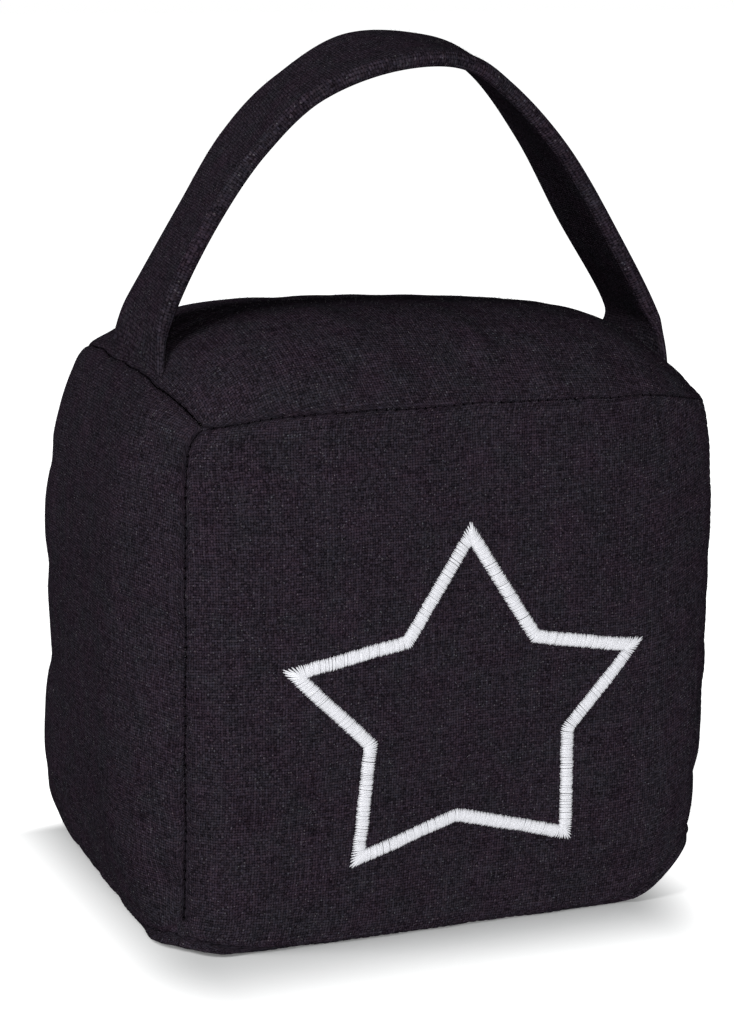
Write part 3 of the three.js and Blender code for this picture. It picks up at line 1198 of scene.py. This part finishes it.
@dataclass
class SeamStitches:
    """The dark sewing thread that shows in the creases between the panels, in millimetres."""

    form: StuffedForm
    needle: float = NEEDLE_STEP
    end_gap: float = 2.0
    span: float = 0.4
    sag: float = 0.2
    sunk: float = 0.95
    thread: float = 0.16
    sides: int = 6
    bends: int = 4

    def seam_axes(self, name: str) -> tuple[int, Array]:
        """How a seam runs.

        Args:
            name: The seam's name, which is made of those of its two panels.

        Returns:
            The axis along which it runs, and the way out of the block at each of the panels.
        """
        sides = np.array([self.form.plans[Side(word)].out for word in name.split("_")], dtype=float)
        return int(np.argmin(np.abs(sides).sum(axis=0))), sides

    def build(self) -> bpy.types.Object:
        """Model one short stitch across the crease at every needle hole.

        Returns:
            The finished piece.
        """
        runs = []
        share = np.linspace(-1, 1, self.bends + 1)
        for name in self.form.seams:
            running, sides = self.seam_axes(name)
            half = self.form.half(running)
            steps = int((half - self.end_gap) // self.needle)
            places = np.arange(-steps, steps + 1) * self.needle / half
            crease = self.form.seam_points(name, places)
            out = sides.sum(axis=0) / math.sqrt(2)
            across = (sides[0] - sides[1]) / math.sqrt(2)
            depth = self.sag * (1 - share**2) + self.sunk
            lie = across * (share * self.span)[:, None] - out * depth[:, None]
            runs.append(crease[:, None, :] + lie[None])
        laid = np.concatenate(runs)
        laid[..., 2] = np.maximum(laid[..., 2], self.thread)
        thick = np.full(laid.shape[:2], self.thread)
        piece = thread_bundle("seam_stitches", laid, thick, self.sides)
        return finish_piece(piece, None)


@dataclass(frozen=True)
class Strands:
    """One kind of loose fibre, in millimetres: its taper gives the radius at each bend."""

    name: str
    count: int
    length: tuple[float, float]
    stand: float
    taper: tuple[float, ...]
    sides: int


@dataclass
class LooseFibres:
    """The fine fuzz of the cloth, and a few pale bits of lint that lie on it."""

    skins: list[ClothSkin]
    kinds: tuple[Strands, ...] = (
        Strands("cloth_fuzz", 9000, (0.25, 1.0), 0.9, (0.032, 0.0256, 0.0128), 3),
        Strands("pale_lint", 36, (0.4, 1.5), 0.12, (0.03, 0.03, 0.03, 0.03, 0.03), 4),
    )
    curl: float = 0.8
    least_rise: float = 0.15
    rise_draw: float = 0.6
    clear: float = 0.05
    seed: int = 5

    def places(self, count: int, rng: np.random.Generator) -> tuple[Array, Array]:
        """Choose places over all the skins, in keeping with their areas.

        Args:
            count: How many places.
            rng: The source of chance.

        Returns:
            The places, and the way out of the cloth at each.
        """
        areas = np.array([skin.area() for skin in self.skins])
        shares = np.round(areas / areas.sum() * count).astype(int)
        chosen = [skin.sample(int(share), rng) for skin, share in zip(self.skins, shares)]
        return np.concatenate([c[0] for c in chosen]), np.concatenate([c[1] for c in chosen])

    def runs(self, kind: Strands, rng: np.random.Generator) -> Array:
        """Curved runs that start at the cloth.

        Args:
            kind: The kind of fibre.
            rng: The source of chance.

        Returns:
            The runs: strands by bends by three, none below the floor.
        """
        place, normal = self.places(kind.count, rng)
        loose = rng.normal(size=place.shape)
        flat = loose - normal * np.sum(loose * normal, axis=1, keepdims=True)
        flat /= np.linalg.norm(flat, axis=1, keepdims=True) + NO_ZERO
        curl = np.cross(normal, flat) * rng.uniform(-self.curl, self.curl, (len(place), 1))
        reach = rng.uniform(*kind.length, (len(place), 1))
        rise = kind.stand * rng.uniform(self.least_rise, 1, (len(place), 1))
        way = (flat * (1 - self.rise_draw * rise) + normal * rise) * reach
        share = np.linspace(0, 1, len(kind.taper))[None, :, None]
        root = (place + normal * self.clear)[:, None]
        strands = root + way[:, None] * share + (curl * reach)[:, None] * share**2
        strands[..., 2] = np.maximum(strands[..., 2], self.clear)
        return strands

    def build(self) -> list[bpy.types.Object]:
        """Model each kind of loose fibre.

        Returns:
            The finished pieces, the fuzz first.
        """
        rng = np.random.default_rng(self.seed)
        pieces = []
        for kind in self.kinds:
            laid = self.runs(kind, rng)
            thick = np.broadcast_to(np.array(kind.taper), laid.shape[:2])
            pieces.append(thread_bundle(kind.name, laid, thick, kind.sides))
        return [finish_piece(piece, None) for piece in pieces]


@dataclass
class Filling:
    """The sand bag below and the loose fibre above it, inside the cloth; in millimetres."""

    form: StuffedForm
    sand_level: float = 62.5
    bag_foot: float = 1.8
    gap: float = 1.5
    full: float = 0.96
    inset: float = 4.0
    cuts: int = 28
    rounding: float = 0.06
    round_power: int = 6
    lump_size: float = 14.0

    def block(self, name: str, low: float, high: float, lumps: float, seed: int) -> bpy.types.Object:
        """A rounded mass that fills the block between two heights.

        Args:
            name: The piece's name.
            low: The lowest height.
            high: The greatest height.
            lumps: How uneven its skin is.
            seed: Which lumps it gets.

        Returns:
            The piece, without its finish.
        """
        piece = cut_cube(name, self.cuts)
        cube = coordinates(piece)
        u, v, w = cube[:, 0], cube[:, 1], cube[:, 2]
        height = low + (high - low) * (w + 1) / 2
        place = np.clip(height / self.form.half(2) - 1, -1, 1)
        front = self.form.panel_points(Side.FRONT, u, place)
        back = self.form.panel_points(Side.BACK, u, place)
        share = ((v + 1) / 2)[:, None]
        points = front * (1 - share) + back * share
        middle = np.array([0.0, 0.0, (low + high) / 2])
        edge = (np.abs(cube) ** self.round_power).sum(axis=1) - 1
        points = (points - middle) * (1 - self.rounding * edge)[:, None] + middle
        points[:, 0] *= 1 - self.inset / self.form.half(0)
        points[:, 1] *= 1 - self.inset / self.form.half(1)
        points[:, 2] = low + (high - low) * (0.5 + 0.5 * np.sin(w * math.pi / 2))
        for index, point in enumerate(points):
            bump = noise.noise(Vector(point) / self.lump_size + Vector((seed, 0, 0)))
            points[index, :2] *= 1 - lumps * (0.5 + bump) / self.form.half(0)
        set_coordinates(piece, points * MM)
        shade_smooth(piece)
        return piece

    def build(self) -> list[bpy.types.Object]:
        """Model both fillings.

        Returns:
            The sand bag and the fibre.
        """
        bag = self.block("calico_sand_bag", self.bag_foot, self.sand_level, 1.5, 3)
        finish_piece(bag, "weight_bag")
        top = self.full * self.form.height
        fibre = self.block("fibre_filling", self.sand_level + self.gap, top, 4.0, 8)
        finish_piece(fibre, "wadding")
        return [bag, fibre]


def node_group(name: str, inputs: Sequence[tuple[str, str, float | tuple]],
               outputs: Sequence[tuple[str, str]]) -> bpy.types.ShaderNodeTree:
    """Start a shader node group with named sockets.

    Args:
        name: The group's name.
        inputs: The name, kind and default of each input.
        outputs: The name and kind of each output.

    Returns:
        The group's node tree, holding its input and output nodes.
    """
    tree = bpy.data.node_groups.new(name, "ShaderNodeTree")
    for label, kind, default in inputs:
        socket = tree.interface.new_socket(name=label, in_out="INPUT", socket_type=kind)
        socket.default_value = default
    for label, kind in outputs:
        tree.interface.new_socket(name=label, in_out="OUTPUT", socket_type=kind)
    tree.nodes.new("NodeGroupInput").name = "in"
    tree.nodes.new("NodeGroupOutput").name = "out"
    return tree


@dataclass
class Sketch:
    """Short hand for wiring shader nodes."""

    tree: bpy.types.NodeTree

    def node(self, kind: str, **settings: object) -> bpy.types.Node:
        """Add a node with some of its properties set."""
        made = self.tree.nodes.new(kind)
        for key, value in settings.items():
            setattr(made, key, value)
        return made

    def feed(self, value: object, socket: bpy.types.NodeSocket) -> None:
        """Link an output to a socket, or set the socket's own value."""
        if isinstance(value, bpy.types.NodeSocket):
            self.tree.links.new(value, socket)
        else:
            socket.default_value = value

    def math(self, operation: str, *values: object) -> bpy.types.NodeSocket:
        """Work out a sum of sockets and values, and give its output."""
        made = self.node("ShaderNodeMath", operation=operation)
        for value, socket in zip(values, made.inputs):
            self.feed(value, socket)
        return made.outputs[0]

    def mix(self, factor: object, first: object, second: object,
            blend: str = "MIX") -> bpy.types.NodeSocket:
        """Mix two colours by a factor, and give the mixture's output.

        Args:
            factor: How much of the second colour there is.
            first: The first colour, or an output.
            second: The second one.
            blend: The kind of mixture.

        Returns:
            The output with the mixed colour.
        """
        made = self.node("ShaderNodeMix", data_type="RGBA", blend_type=blend)
        self.feed(factor, made.inputs[0])
        self.feed(first, made.inputs[6])
        self.feed(second, made.inputs[7])
        return made.outputs[2]

    def noise(self, vector: object, scale: float, detail: float = 2.0,
              rough: float = 0.5) -> bpy.types.NodeSocket:
        """Add a soft noise.

        Args:
            vector: The output that gives the place.
            scale: How fine the noise is, in waves to the metre.
            detail: How many finer layers it has.
            rough: How strong those are.

        Returns:
            The output with the noise, from 0 to 1.
        """
        made = self.node("ShaderNodeTexNoise")
        self.feed(vector, made.inputs["Vector"])
        made.inputs["Scale"].default_value = scale
        made.inputs["Detail"].default_value = detail
        made.inputs["Roughness"].default_value = rough
        return made.outputs["Fac"]

    def span(self, value: object, low: float, high: float, to_low: float = 0.0,
             to_high: float = 1.0) -> bpy.types.NodeSocket:
        """Stretch a span of values to another one, and hold the rest at its ends.

        Args:
            value: The output to stretch.
            low: The least value of the span.
            high: Its greatest value.
            to_low: What the least value becomes.
            to_high: What the greatest value becomes.

        Returns:
            The output with the new value.
        """
        made = self.node("ShaderNodeMapRange", clamp=True)
        for item, socket in zip((value, low, high, to_low, to_high), made.inputs):
            self.feed(item, socket)
        return made.outputs[0]


@dataclass(frozen=True)
class PlainWeave:
    """A plain weave on the cloth's own coordinates, in metres."""

    wobble_scale: float = 60.0
    wobble_detail: float = 1.0
    wobble: tuple[float, float, float] = (0.0011, 0.0011, 0.0)
    key_step: float = 7.31
    key_drift: float = 0.05
    uneven: tuple[float, float, float, float] = (0.3, 0.7, 0.7, 1.2)
    roundness: float = 0.7
    seeds: tuple[float, float] = (1.5, 6.5)
    fuzz_scale: float = 2300.0
    fuzz_roughness: float = 0.7
    fuzz_height: float = 0.3
    grain: float = 1.4
    cross_tone: float = 0.35
    thread_tone: float = 0.5
    nap_size: tuple[float, float, float] = (0.00028, 0.00028, 1.0)
    nap_limit: float = 0.992

    def thread(self, draw: Sketch, across: object, along: object, index: object, sign: float,
               seed: float) -> tuple[bpy.types.NodeSocket, bpy.types.NodeSocket]:
        """Draw one set of threads.

        Args:
            draw: The sketch of the weave's group.
            across: The place across the threads, in threads.
            along: The place along them, in threads.
            index: The number of the thread.
            sign: Which of the two sets goes over the other at an even crossing.
            seed: What tells the sets' tones apart.

        Returns:
            The threads' height, and their tone along their length.
        """
        key = draw.node("ShaderNodeCombineXYZ")
        draw.feed(draw.math("MULTIPLY", index, self.key_step), key.inputs[0])
        draw.feed(draw.math("MULTIPLY", along, self.key_drift), key.inputs[1])
        key.inputs[2].default_value = seed
        tone = draw.noise(key.outputs[0], 1.0, 3.0, 0.7)
        fatness = draw.span(tone, *self.uneven)
        bulge = draw.math("ABSOLUTE", draw.math("SINE", draw.math("MULTIPLY", across, math.pi)))
        beyond = draw.math("SUBTRACT", draw.math("SUBTRACT", along, index), 0.5)
        turn = draw.math("MULTIPLY", beyond, math.pi)
        lift = draw.math("MULTIPLY_ADD", draw.math("COSINE", turn), 0.5 * sign, 0.5)
        body = draw.math("MULTIPLY", draw.math("POWER", bulge, self.roundness), lift)
        return draw.math("MULTIPLY", body, fatness), tone

    def build(self) -> bpy.types.ShaderNodeTree:
        """Draw the weave as a node group.

        Returns:
            A group that gives the height of the threads, the tone of each crossing and thread,
            and the fine pale specks of its nap.
        """
        tree = node_group(
            "plain_weave",
            [("Place", "NodeSocketVector", (0, 0, 0)), ("Pitch", "NodeSocketFloat", MM)],
            [(label, "NodeSocketFloat") for label in ("Height", "Tone", "Speck")],
        )
        draw = Sketch(tree)
        source = tree.nodes["in"].outputs
        target = tree.nodes["out"].inputs
        wobble = draw.node("ShaderNodeTexNoise")
        draw.feed(source["Place"], wobble.inputs["Vector"])
        wobble.inputs["Scale"].default_value = self.wobble_scale
        wobble.inputs["Detail"].default_value = self.wobble_detail
        shift = draw.node("ShaderNodeVectorMath", operation="MULTIPLY_ADD")
        draw.feed(wobble.outputs["Color"], shift.inputs[0])
        shift.inputs[1].default_value = self.wobble
        draw.feed(source["Place"], shift.inputs[2])
        parts = draw.node("ShaderNodeSeparateXYZ")
        draw.feed(shift.outputs[0], parts.inputs[0])
        x = draw.math("DIVIDE", parts.outputs[0], source["Pitch"])
        y = draw.math("DIVIDE", parts.outputs[1], source["Pitch"])
        column = draw.math("FLOOR", x)
        row = draw.math("FLOOR", y)
        warp, warp_tone = self.thread(draw, x, y, column, 1.0, self.seeds[0])
        weft, weft_tone = self.thread(draw, y, x, row, -1.0, self.seeds[1])
        over = draw.math("GREATER_THAN", warp, weft)
        chosen = draw.node("ShaderNodeMix", data_type="FLOAT")
        draw.feed(over, chosen.inputs[0])
        draw.feed(weft_tone, chosen.inputs[2])
        draw.feed(warp_tone, chosen.inputs[3])
        cell = draw.node("ShaderNodeCombineXYZ")
        for value, socket in zip((column, row, over), cell.inputs):
            draw.feed(value, socket)
        chance = draw.node("ShaderNodeTexWhiteNoise", noise_dimensions="3D")
        draw.feed(cell.outputs[0], chance.inputs["Vector"])
        fuzz = draw.noise(source["Place"], self.fuzz_scale, rough=self.fuzz_roughness)
        height = draw.math("MAXIMUM", warp, weft)
        draw.feed(draw.math("MULTIPLY_ADD", fuzz, self.fuzz_height, height), target["Height"])
        by_thread = draw.math("MULTIPLY", chosen.outputs[0], self.thread_tone)
        mixed = draw.math("MULTIPLY_ADD", chance.outputs["Value"], self.cross_tone, by_thread)
        centred = draw.math("SUBTRACT", fuzz, 0.5)
        draw.feed(draw.math("MULTIPLY_ADD", centred, self.grain, mixed), target["Tone"])
        nap = draw.node("ShaderNodeTexWhiteNoise", noise_dimensions="2D")
        grains = draw.node("ShaderNodeVectorMath", operation="SNAP")
        draw.feed(source["Place"], grains.inputs[0])
        grains.inputs[1].default_value = self.nap_size
        draw.feed(grains.outputs[0], nap.inputs["Vector"])
        speck = draw.math("GREATER_THAN", nap.outputs["Value"], self.nap_limit)
        draw.feed(speck, target["Speck"])
        return tree


@dataclass(frozen=True)
class CanvasFinish:
    """Near black plain-woven cotton canvas, whose dye is a little uneven; the gaps between its threads are
    painted darker as shade.
    """

    name: str
    # gap: painted shade, the colour the cloth takes down in the gaps between its threads
    gap: tuple[float, float, float] = (0.0020, 0.0016, 0.0021)
    low: tuple[float, float, float] = (0.0062, 0.0048, 0.0065)
    high: tuple[float, float, float] = (0.053, 0.0415, 0.055)
    pale: tuple[float, float, float] = (0.085, 0.08, 0.088)
    plum: tuple[float, float, float] = (1.04, 0.95, 1.01)
    slate: tuple[float, float, float] = (0.93, 1.05, 1.0)
    warm: tuple[float, float, float] = (1.06, 0.98, 0.96)
    cool: tuple[float, float, float] = (0.95, 1.0, 1.08)
    tones: tuple[float, float] = (0.12, 0.95)
    gap_shade_heights: tuple[float, float] = (0.2, 0.8)
    dye_scale: float = 105.0
    dye: tuple[float, float] = (0.35, 0.68)
    tint_scale: float = 1100.0
    tint_roughness: float = 0.6
    tint: tuple[float, float] = (0.35, 0.65)
    pitch: float = 0.0007
    relief: float = 0.00022
    relief_strength: float = 0.9
    roughness: float = 1.0

    def build(self, weave: bpy.types.ShaderNodeTree) -> bpy.types.Material:
        """Make the material on the piece's own cloth coordinates.

        Args:
            weave: The group of the plain weave.

        Returns:
            The material.
        """
        material = bpy.data.materials.new(self.name)
        material.use_nodes = True
        tree = material.node_tree
        draw = Sketch(tree)
        shader = tree.nodes["Principled BSDF"]
        place = draw.node("ShaderNodeUVMap", uv_map=CLOTH_UV).outputs[0]
        group = draw.node("ShaderNodeGroup", node_tree=weave)
        draw.feed(place, group.inputs["Place"])
        group.inputs["Pitch"].default_value = self.pitch
        tone = draw.span(group.outputs["Tone"], *self.tones)
        cloth = draw.mix(tone, (*self.low, 1), (*self.high, 1))
        cloth = draw.mix(group.outputs["Speck"], cloth, (*self.pale, 1))
        dye = draw.span(draw.noise(place, self.dye_scale), *self.dye)
        dyed = draw.mix(dye, (*self.plum, 1), (*self.slate, 1))
        cloth = draw.mix(1.0, cloth, dyed, "MULTIPLY")
        tint = draw.span(draw.noise(place, self.tint_scale, rough=self.tint_roughness), *self.tint)
        tinted = draw.mix(tint, (*self.warm, 1), (*self.cool, 1))
        cloth = draw.mix(1.0, cloth, tinted, "MULTIPLY")
        # Painted shade: where the threads lie low, the colour darkens towards the gap colour.
        gap_shade_mask = draw.span(group.outputs["Height"], *self.gap_shade_heights)
        draw.feed(draw.mix(gap_shade_mask, (*self.gap, 1), cloth), shader.inputs["Base Color"])
        shader.inputs["Roughness"].default_value = self.roughness
        shader.inputs["Specular IOR Level"].default_value = 0.0
        bump = draw.node("ShaderNodeBump")
        bump.inputs["Strength"].default_value = self.relief_strength
        bump.inputs["Distance"].default_value = self.relief
        draw.feed(group.outputs["Height"], bump.inputs["Height"])
        draw.feed(bump.outputs[0], shader.inputs["Normal"])
        return material


@dataclass(frozen=True)
class ThreadFinish:
    """Thread or loose fibre of one colour, a little uneven."""

    name: str
    colour: tuple[float, float, float]
    grain: float = 900.0
    grain_roughness: float = 0.6
    dimmed: float = 0.82
    roughness: float = 0.5
    sheen: float = 0.1
    specular: float = 0.5

    def build(self) -> bpy.types.Material:
        """Make the material with a faint tone change from stitch to stitch."""
        material = bpy.data.materials.new(self.name)
        material.use_nodes = True
        draw = Sketch(material.node_tree)
        shader = material.node_tree.nodes["Principled BSDF"]
        place = draw.node("ShaderNodeTexCoord")
        tone = draw.noise(place.outputs["Object"], self.grain, rough=self.grain_roughness)
        dim = tuple(self.dimmed * c for c in self.colour)
        draw.feed(draw.mix(tone, (*dim, 1), (*self.colour, 1)), shader.inputs["Base Color"])
        shader.inputs["Roughness"].default_value = self.roughness
        shader.inputs["Sheen Weight"].default_value = self.sheen
        shader.inputs["Specular IOR Level"].default_value = self.specular
        return material


@dataclass(frozen=True)
class SoftFinish:
    """A plain finish for the hidden fillings: calico or fibre."""

    name: str
    colour: tuple[float, float, float]
    grain: float
    grain_detail: float = 4.0
    grain_roughness: float = 0.65
    dimmed: float = 0.7
    relief: float = 0.0006
    roughness: float = 0.95

    def build(self) -> bpy.types.Material:
        """Make the material with a fine grain."""
        material = bpy.data.materials.new(self.name)
        material.use_nodes = True
        draw = Sketch(material.node_tree)
        shader = material.node_tree.nodes["Principled BSDF"]
        place = draw.node("ShaderNodeTexCoord")
        grain = (self.grain, self.grain_detail, self.grain_roughness)
        tone = draw.noise(place.outputs["Object"], *grain)
        dark = tuple(self.dimmed * c for c in self.colour)
        draw.feed(draw.mix(tone, (*dark, 1), (*self.colour, 1)), shader.inputs["Base Color"])
        shader.inputs["Roughness"].default_value = self.roughness
        bump = draw.node("ShaderNodeBump")
        bump.inputs["Distance"].default_value = self.relief
        draw.feed(tone, bump.inputs["Height"])
        draw.feed(bump.outputs[0], shader.inputs["Normal"])
        return material


def dress(piece: bpy.types.Object, material: bpy.types.Material) -> None:
    """Give a piece one material all over."""
    piece.data.materials.clear()
    piece.data.materials.append(material)


@dataclass(frozen=True)
class Lamp:
    """One square soft lamp: its place and size in metres, and its power in watts."""

    name: str
    place: tuple[float, float, float]
    size: float
    watts: float


@dataclass
class Studio:
    """The pale floor, the soft lamps and the camera, in metres and degrees."""

    azimuth: float = -23.01
    elevation: float = 12.03
    distance: float = 0.6979
    target: tuple[float, float, float] = (-0.0025, 0.0031, 0.0958)
    lens: float = 88.6
    floor_white: float = 0.8
    # The box round the foot where the floor keeps its shading, and how soon the painted glow covers it
    # beyond; the zone's soft edge is a painted shadow.
    foot: tuple[tuple[float, float], ...] = ((-0.073, 0.040), (-0.060, 0.046))
    shadow_zone_fades: tuple[tuple[float, float], ...] = ((0.040, 0.032), (0.066, 0.012))
    sky: tuple[float, float, float] = (0.86, 1.0, 1.0)
    sky_strength: float = 0.07
    floor_size: float = 30.0
    sensor: float = 36.0
    nearest: float = 0.01
    aim: tuple[float, float, float] = (0.0, 0.0, 0.08)
    soft_lamps: tuple[Lamp, ...] = (
        Lamp("front_lamp", (-0.40, -1.78, 0.47), 0.8, 28),
        Lamp("left_lamp", (-1.15, 0.0, 1.2), 1.0, 16.5),
    )

    def floor(self) -> None:
        """A white floor that keeps its real shading only round the object's foot; beyond it a painted glow
        hides the cast shadows, so the shadow's reach is painted.
        """
        deselect_all()
        bpy.ops.mesh.primitive_plane_add(size=self.floor_size)
        plane = named("studio_floor")
        material = bpy.data.materials.new("floor_white")
        material.use_nodes = True
        tree = material.node_tree
        draw = Sketch(tree)
        shader = tree.nodes["Principled BSDF"]
        shader.inputs["Base Color"].default_value = (*[self.floor_white] * 3, 1)
        shader.inputs["Roughness"].default_value = 1.0
        shader.inputs["Specular IOR Level"].default_value = 0.0
        painted_floor_glow = draw.node("ShaderNodeEmission")
        painted_floor_glow.inputs["Color"].default_value = (1, 1, 1, 1)
        rays = draw.node("ShaderNodeLightPath")
        seen = draw.math("MAXIMUM", rays.outputs["Is Camera Ray"], rays.outputs["Is Glossy Ray"])
        # Painted light: clear of the foot the floor glows white to camera and glossy rays, which paints out
        # the cast shadows there.
        draw.feed(draw.math("MULTIPLY", seen, self.painted_glow_mask(draw)), painted_floor_glow.inputs["Strength"])
        total = draw.node("ShaderNodeAddShader")
        draw.feed(shader.outputs[0], total.inputs[0])
        draw.feed(painted_floor_glow.outputs[0], total.inputs[1])
        draw.feed(total.outputs[0], tree.nodes["Material Output"].inputs["Surface"])
        dress(plane, material)

    def painted_glow_mask(self, draw: Sketch) -> bpy.types.NodeSocket:
        """The painted glow's mask: how far a place on the floor is from the object's foot.

        Args:
            draw: The sketch of the floor's material.

        Returns:
            The output with that distance: 0 beside the foot, where the floor keeps its shading, and 1 clear
                of it, where the painted glow covers all shadow.
        """
        parts = draw.node("ShaderNodeSeparateXYZ")
        draw.feed(draw.node("ShaderNodeTexCoord").outputs["Object"], parts.inputs[0])
        squares = []
        for axis, (low, high), (fade_low, fade_high) in zip((0, 1), self.foot, self.shadow_zone_fades):
            below = draw.math("DIVIDE", draw.math("SUBTRACT", low, parts.outputs[axis]), fade_low)
            above = draw.math("DIVIDE", draw.math("SUBTRACT", parts.outputs[axis], high), fade_high)
            beyond = draw.math("MAXIMUM", draw.math("MAXIMUM", below, above), 0.0)
            squares.append(draw.math("MULTIPLY", beyond, beyond))
        distance = draw.math("SQRT", draw.math("ADD", *squares))
        smooth = draw.node("ShaderNodeMapRange", interpolation_type="SMOOTHSTEP")
        draw.feed(distance, smooth.inputs[0])
        return smooth.outputs[0]

    def world(self) -> None:
        """A weak cool surround, pure white where the camera sees it."""
        world = bpy.data.worlds.new("studio")
        world.use_nodes = True
        bpy.context.scene.world = world
        draw = Sketch(world.node_tree)
        background = world.node_tree.nodes["Background"]
        rays = draw.node("ShaderNodeLightPath")
        seen = rays.outputs["Is Camera Ray"]
        draw.feed(draw.mix(seen, (*self.sky, 1), (1, 1, 1, 1)), background.inputs["Color"])
        draw.feed(draw.math("MULTIPLY_ADD", seen, 1 - self.sky_strength, self.sky_strength),
                  background.inputs["Strength"])

    def lamps(self) -> None:
        """A broad soft lamp low in front, and a larger one high to the left."""
        for soft in self.soft_lamps:
            deselect_all()
            bpy.ops.object.light_add(type="AREA", location=soft.place)
            lamp = bpy.context.object
            lamp.name = soft.name
            lamp.data.shape = "SQUARE"
            lamp.data.size = soft.size
            lamp.data.energy = soft.watts
            aim = Vector(self.aim) - Vector(soft.place)
            lamp.rotation_euler = aim.to_track_quat("-Z", "Y").to_euler()

    def camera(self) -> None:
        """The photograph's view."""
        az = math.radians(self.azimuth)
        el = math.radians(self.elevation)
        back = Vector((math.sin(az) * math.cos(el), -math.cos(az) * math.cos(el), math.sin(el)))
        deselect_all()
        bpy.ops.object.camera_add(location=Vector(self.target) + back * self.distance)
        camera = bpy.context.object
        camera.name = "photo_view"
        camera.rotation_euler = (-back).to_track_quat("-Z", "Y").to_euler()
        camera.data.sensor_width = self.sensor
        camera.data.lens = self.lens
        camera.data.clip_start = self.nearest
        bpy.context.scene.camera = camera

    def build(self) -> None:
        """Set up everything round the object."""
        self.floor()
        self.world()
        self.lamps()
        self.camera()
        bpy.context.scene.view_settings.view_transform = "Standard"


def main() -> None:
    """Build the door stop and its studio."""
    logging.basicConfig(level=logging.INFO, format="%(name)s %(message)s")
    deselect_all()
    weave = PlainWeave().build()
    canvas = CanvasFinish("door_stop_canvas").build(weave)
    strap_canvas = CanvasFinish("strap_canvas").build(weave)
    form = StuffedForm()
    offsets = StuffingPress(form).swollen()
    panels = {}
    for number, side in enumerate(Side):
        panels[side] = CanvasPanel(form, side, offsets[side], f"{side.value}_panel", seed=number)
        dress(panels[side].build(), canvas)
    strap = HandleStrap(form)
    dress(strap.build(), strap_canvas)
    star_thread = ThreadFinish("star_thread", (0.80, 0.80, 0.84)).build()
    dress(StarStitching(form, panels[Side.FRONT]).build(), star_thread)
    seam_thread = ThreadFinish(
        "seam_thread", (0.0012, 0.001, 0.0013), roughness=1.0, sheen=0.0, specular=0.0
    ).build()
    dress(SeamStitches(form).build(), seam_thread)
    skins = [panels[side].skin for side in Side if side is not Side.BOTTOM] + [strap.skin]
    fuzz, lint = LooseFibres(skins).build()
    dress(fuzz, ThreadFinish("fuzz", (0.035, 0.029, 0.036)).build())
    dress(lint, ThreadFinish("lint", (0.12, 0.12, 0.125)).build())
    bag, fibre = Filling(form).build()
    dress(bag, SoftFinish("calico", (0.52, 0.45, 0.32), 1800).build())
    dress(fibre, SoftFinish("fibre_fill", (0.8, 0.79, 0.75), 500).build())
    Studio().build()


if __name__ == "__main__":
    main()
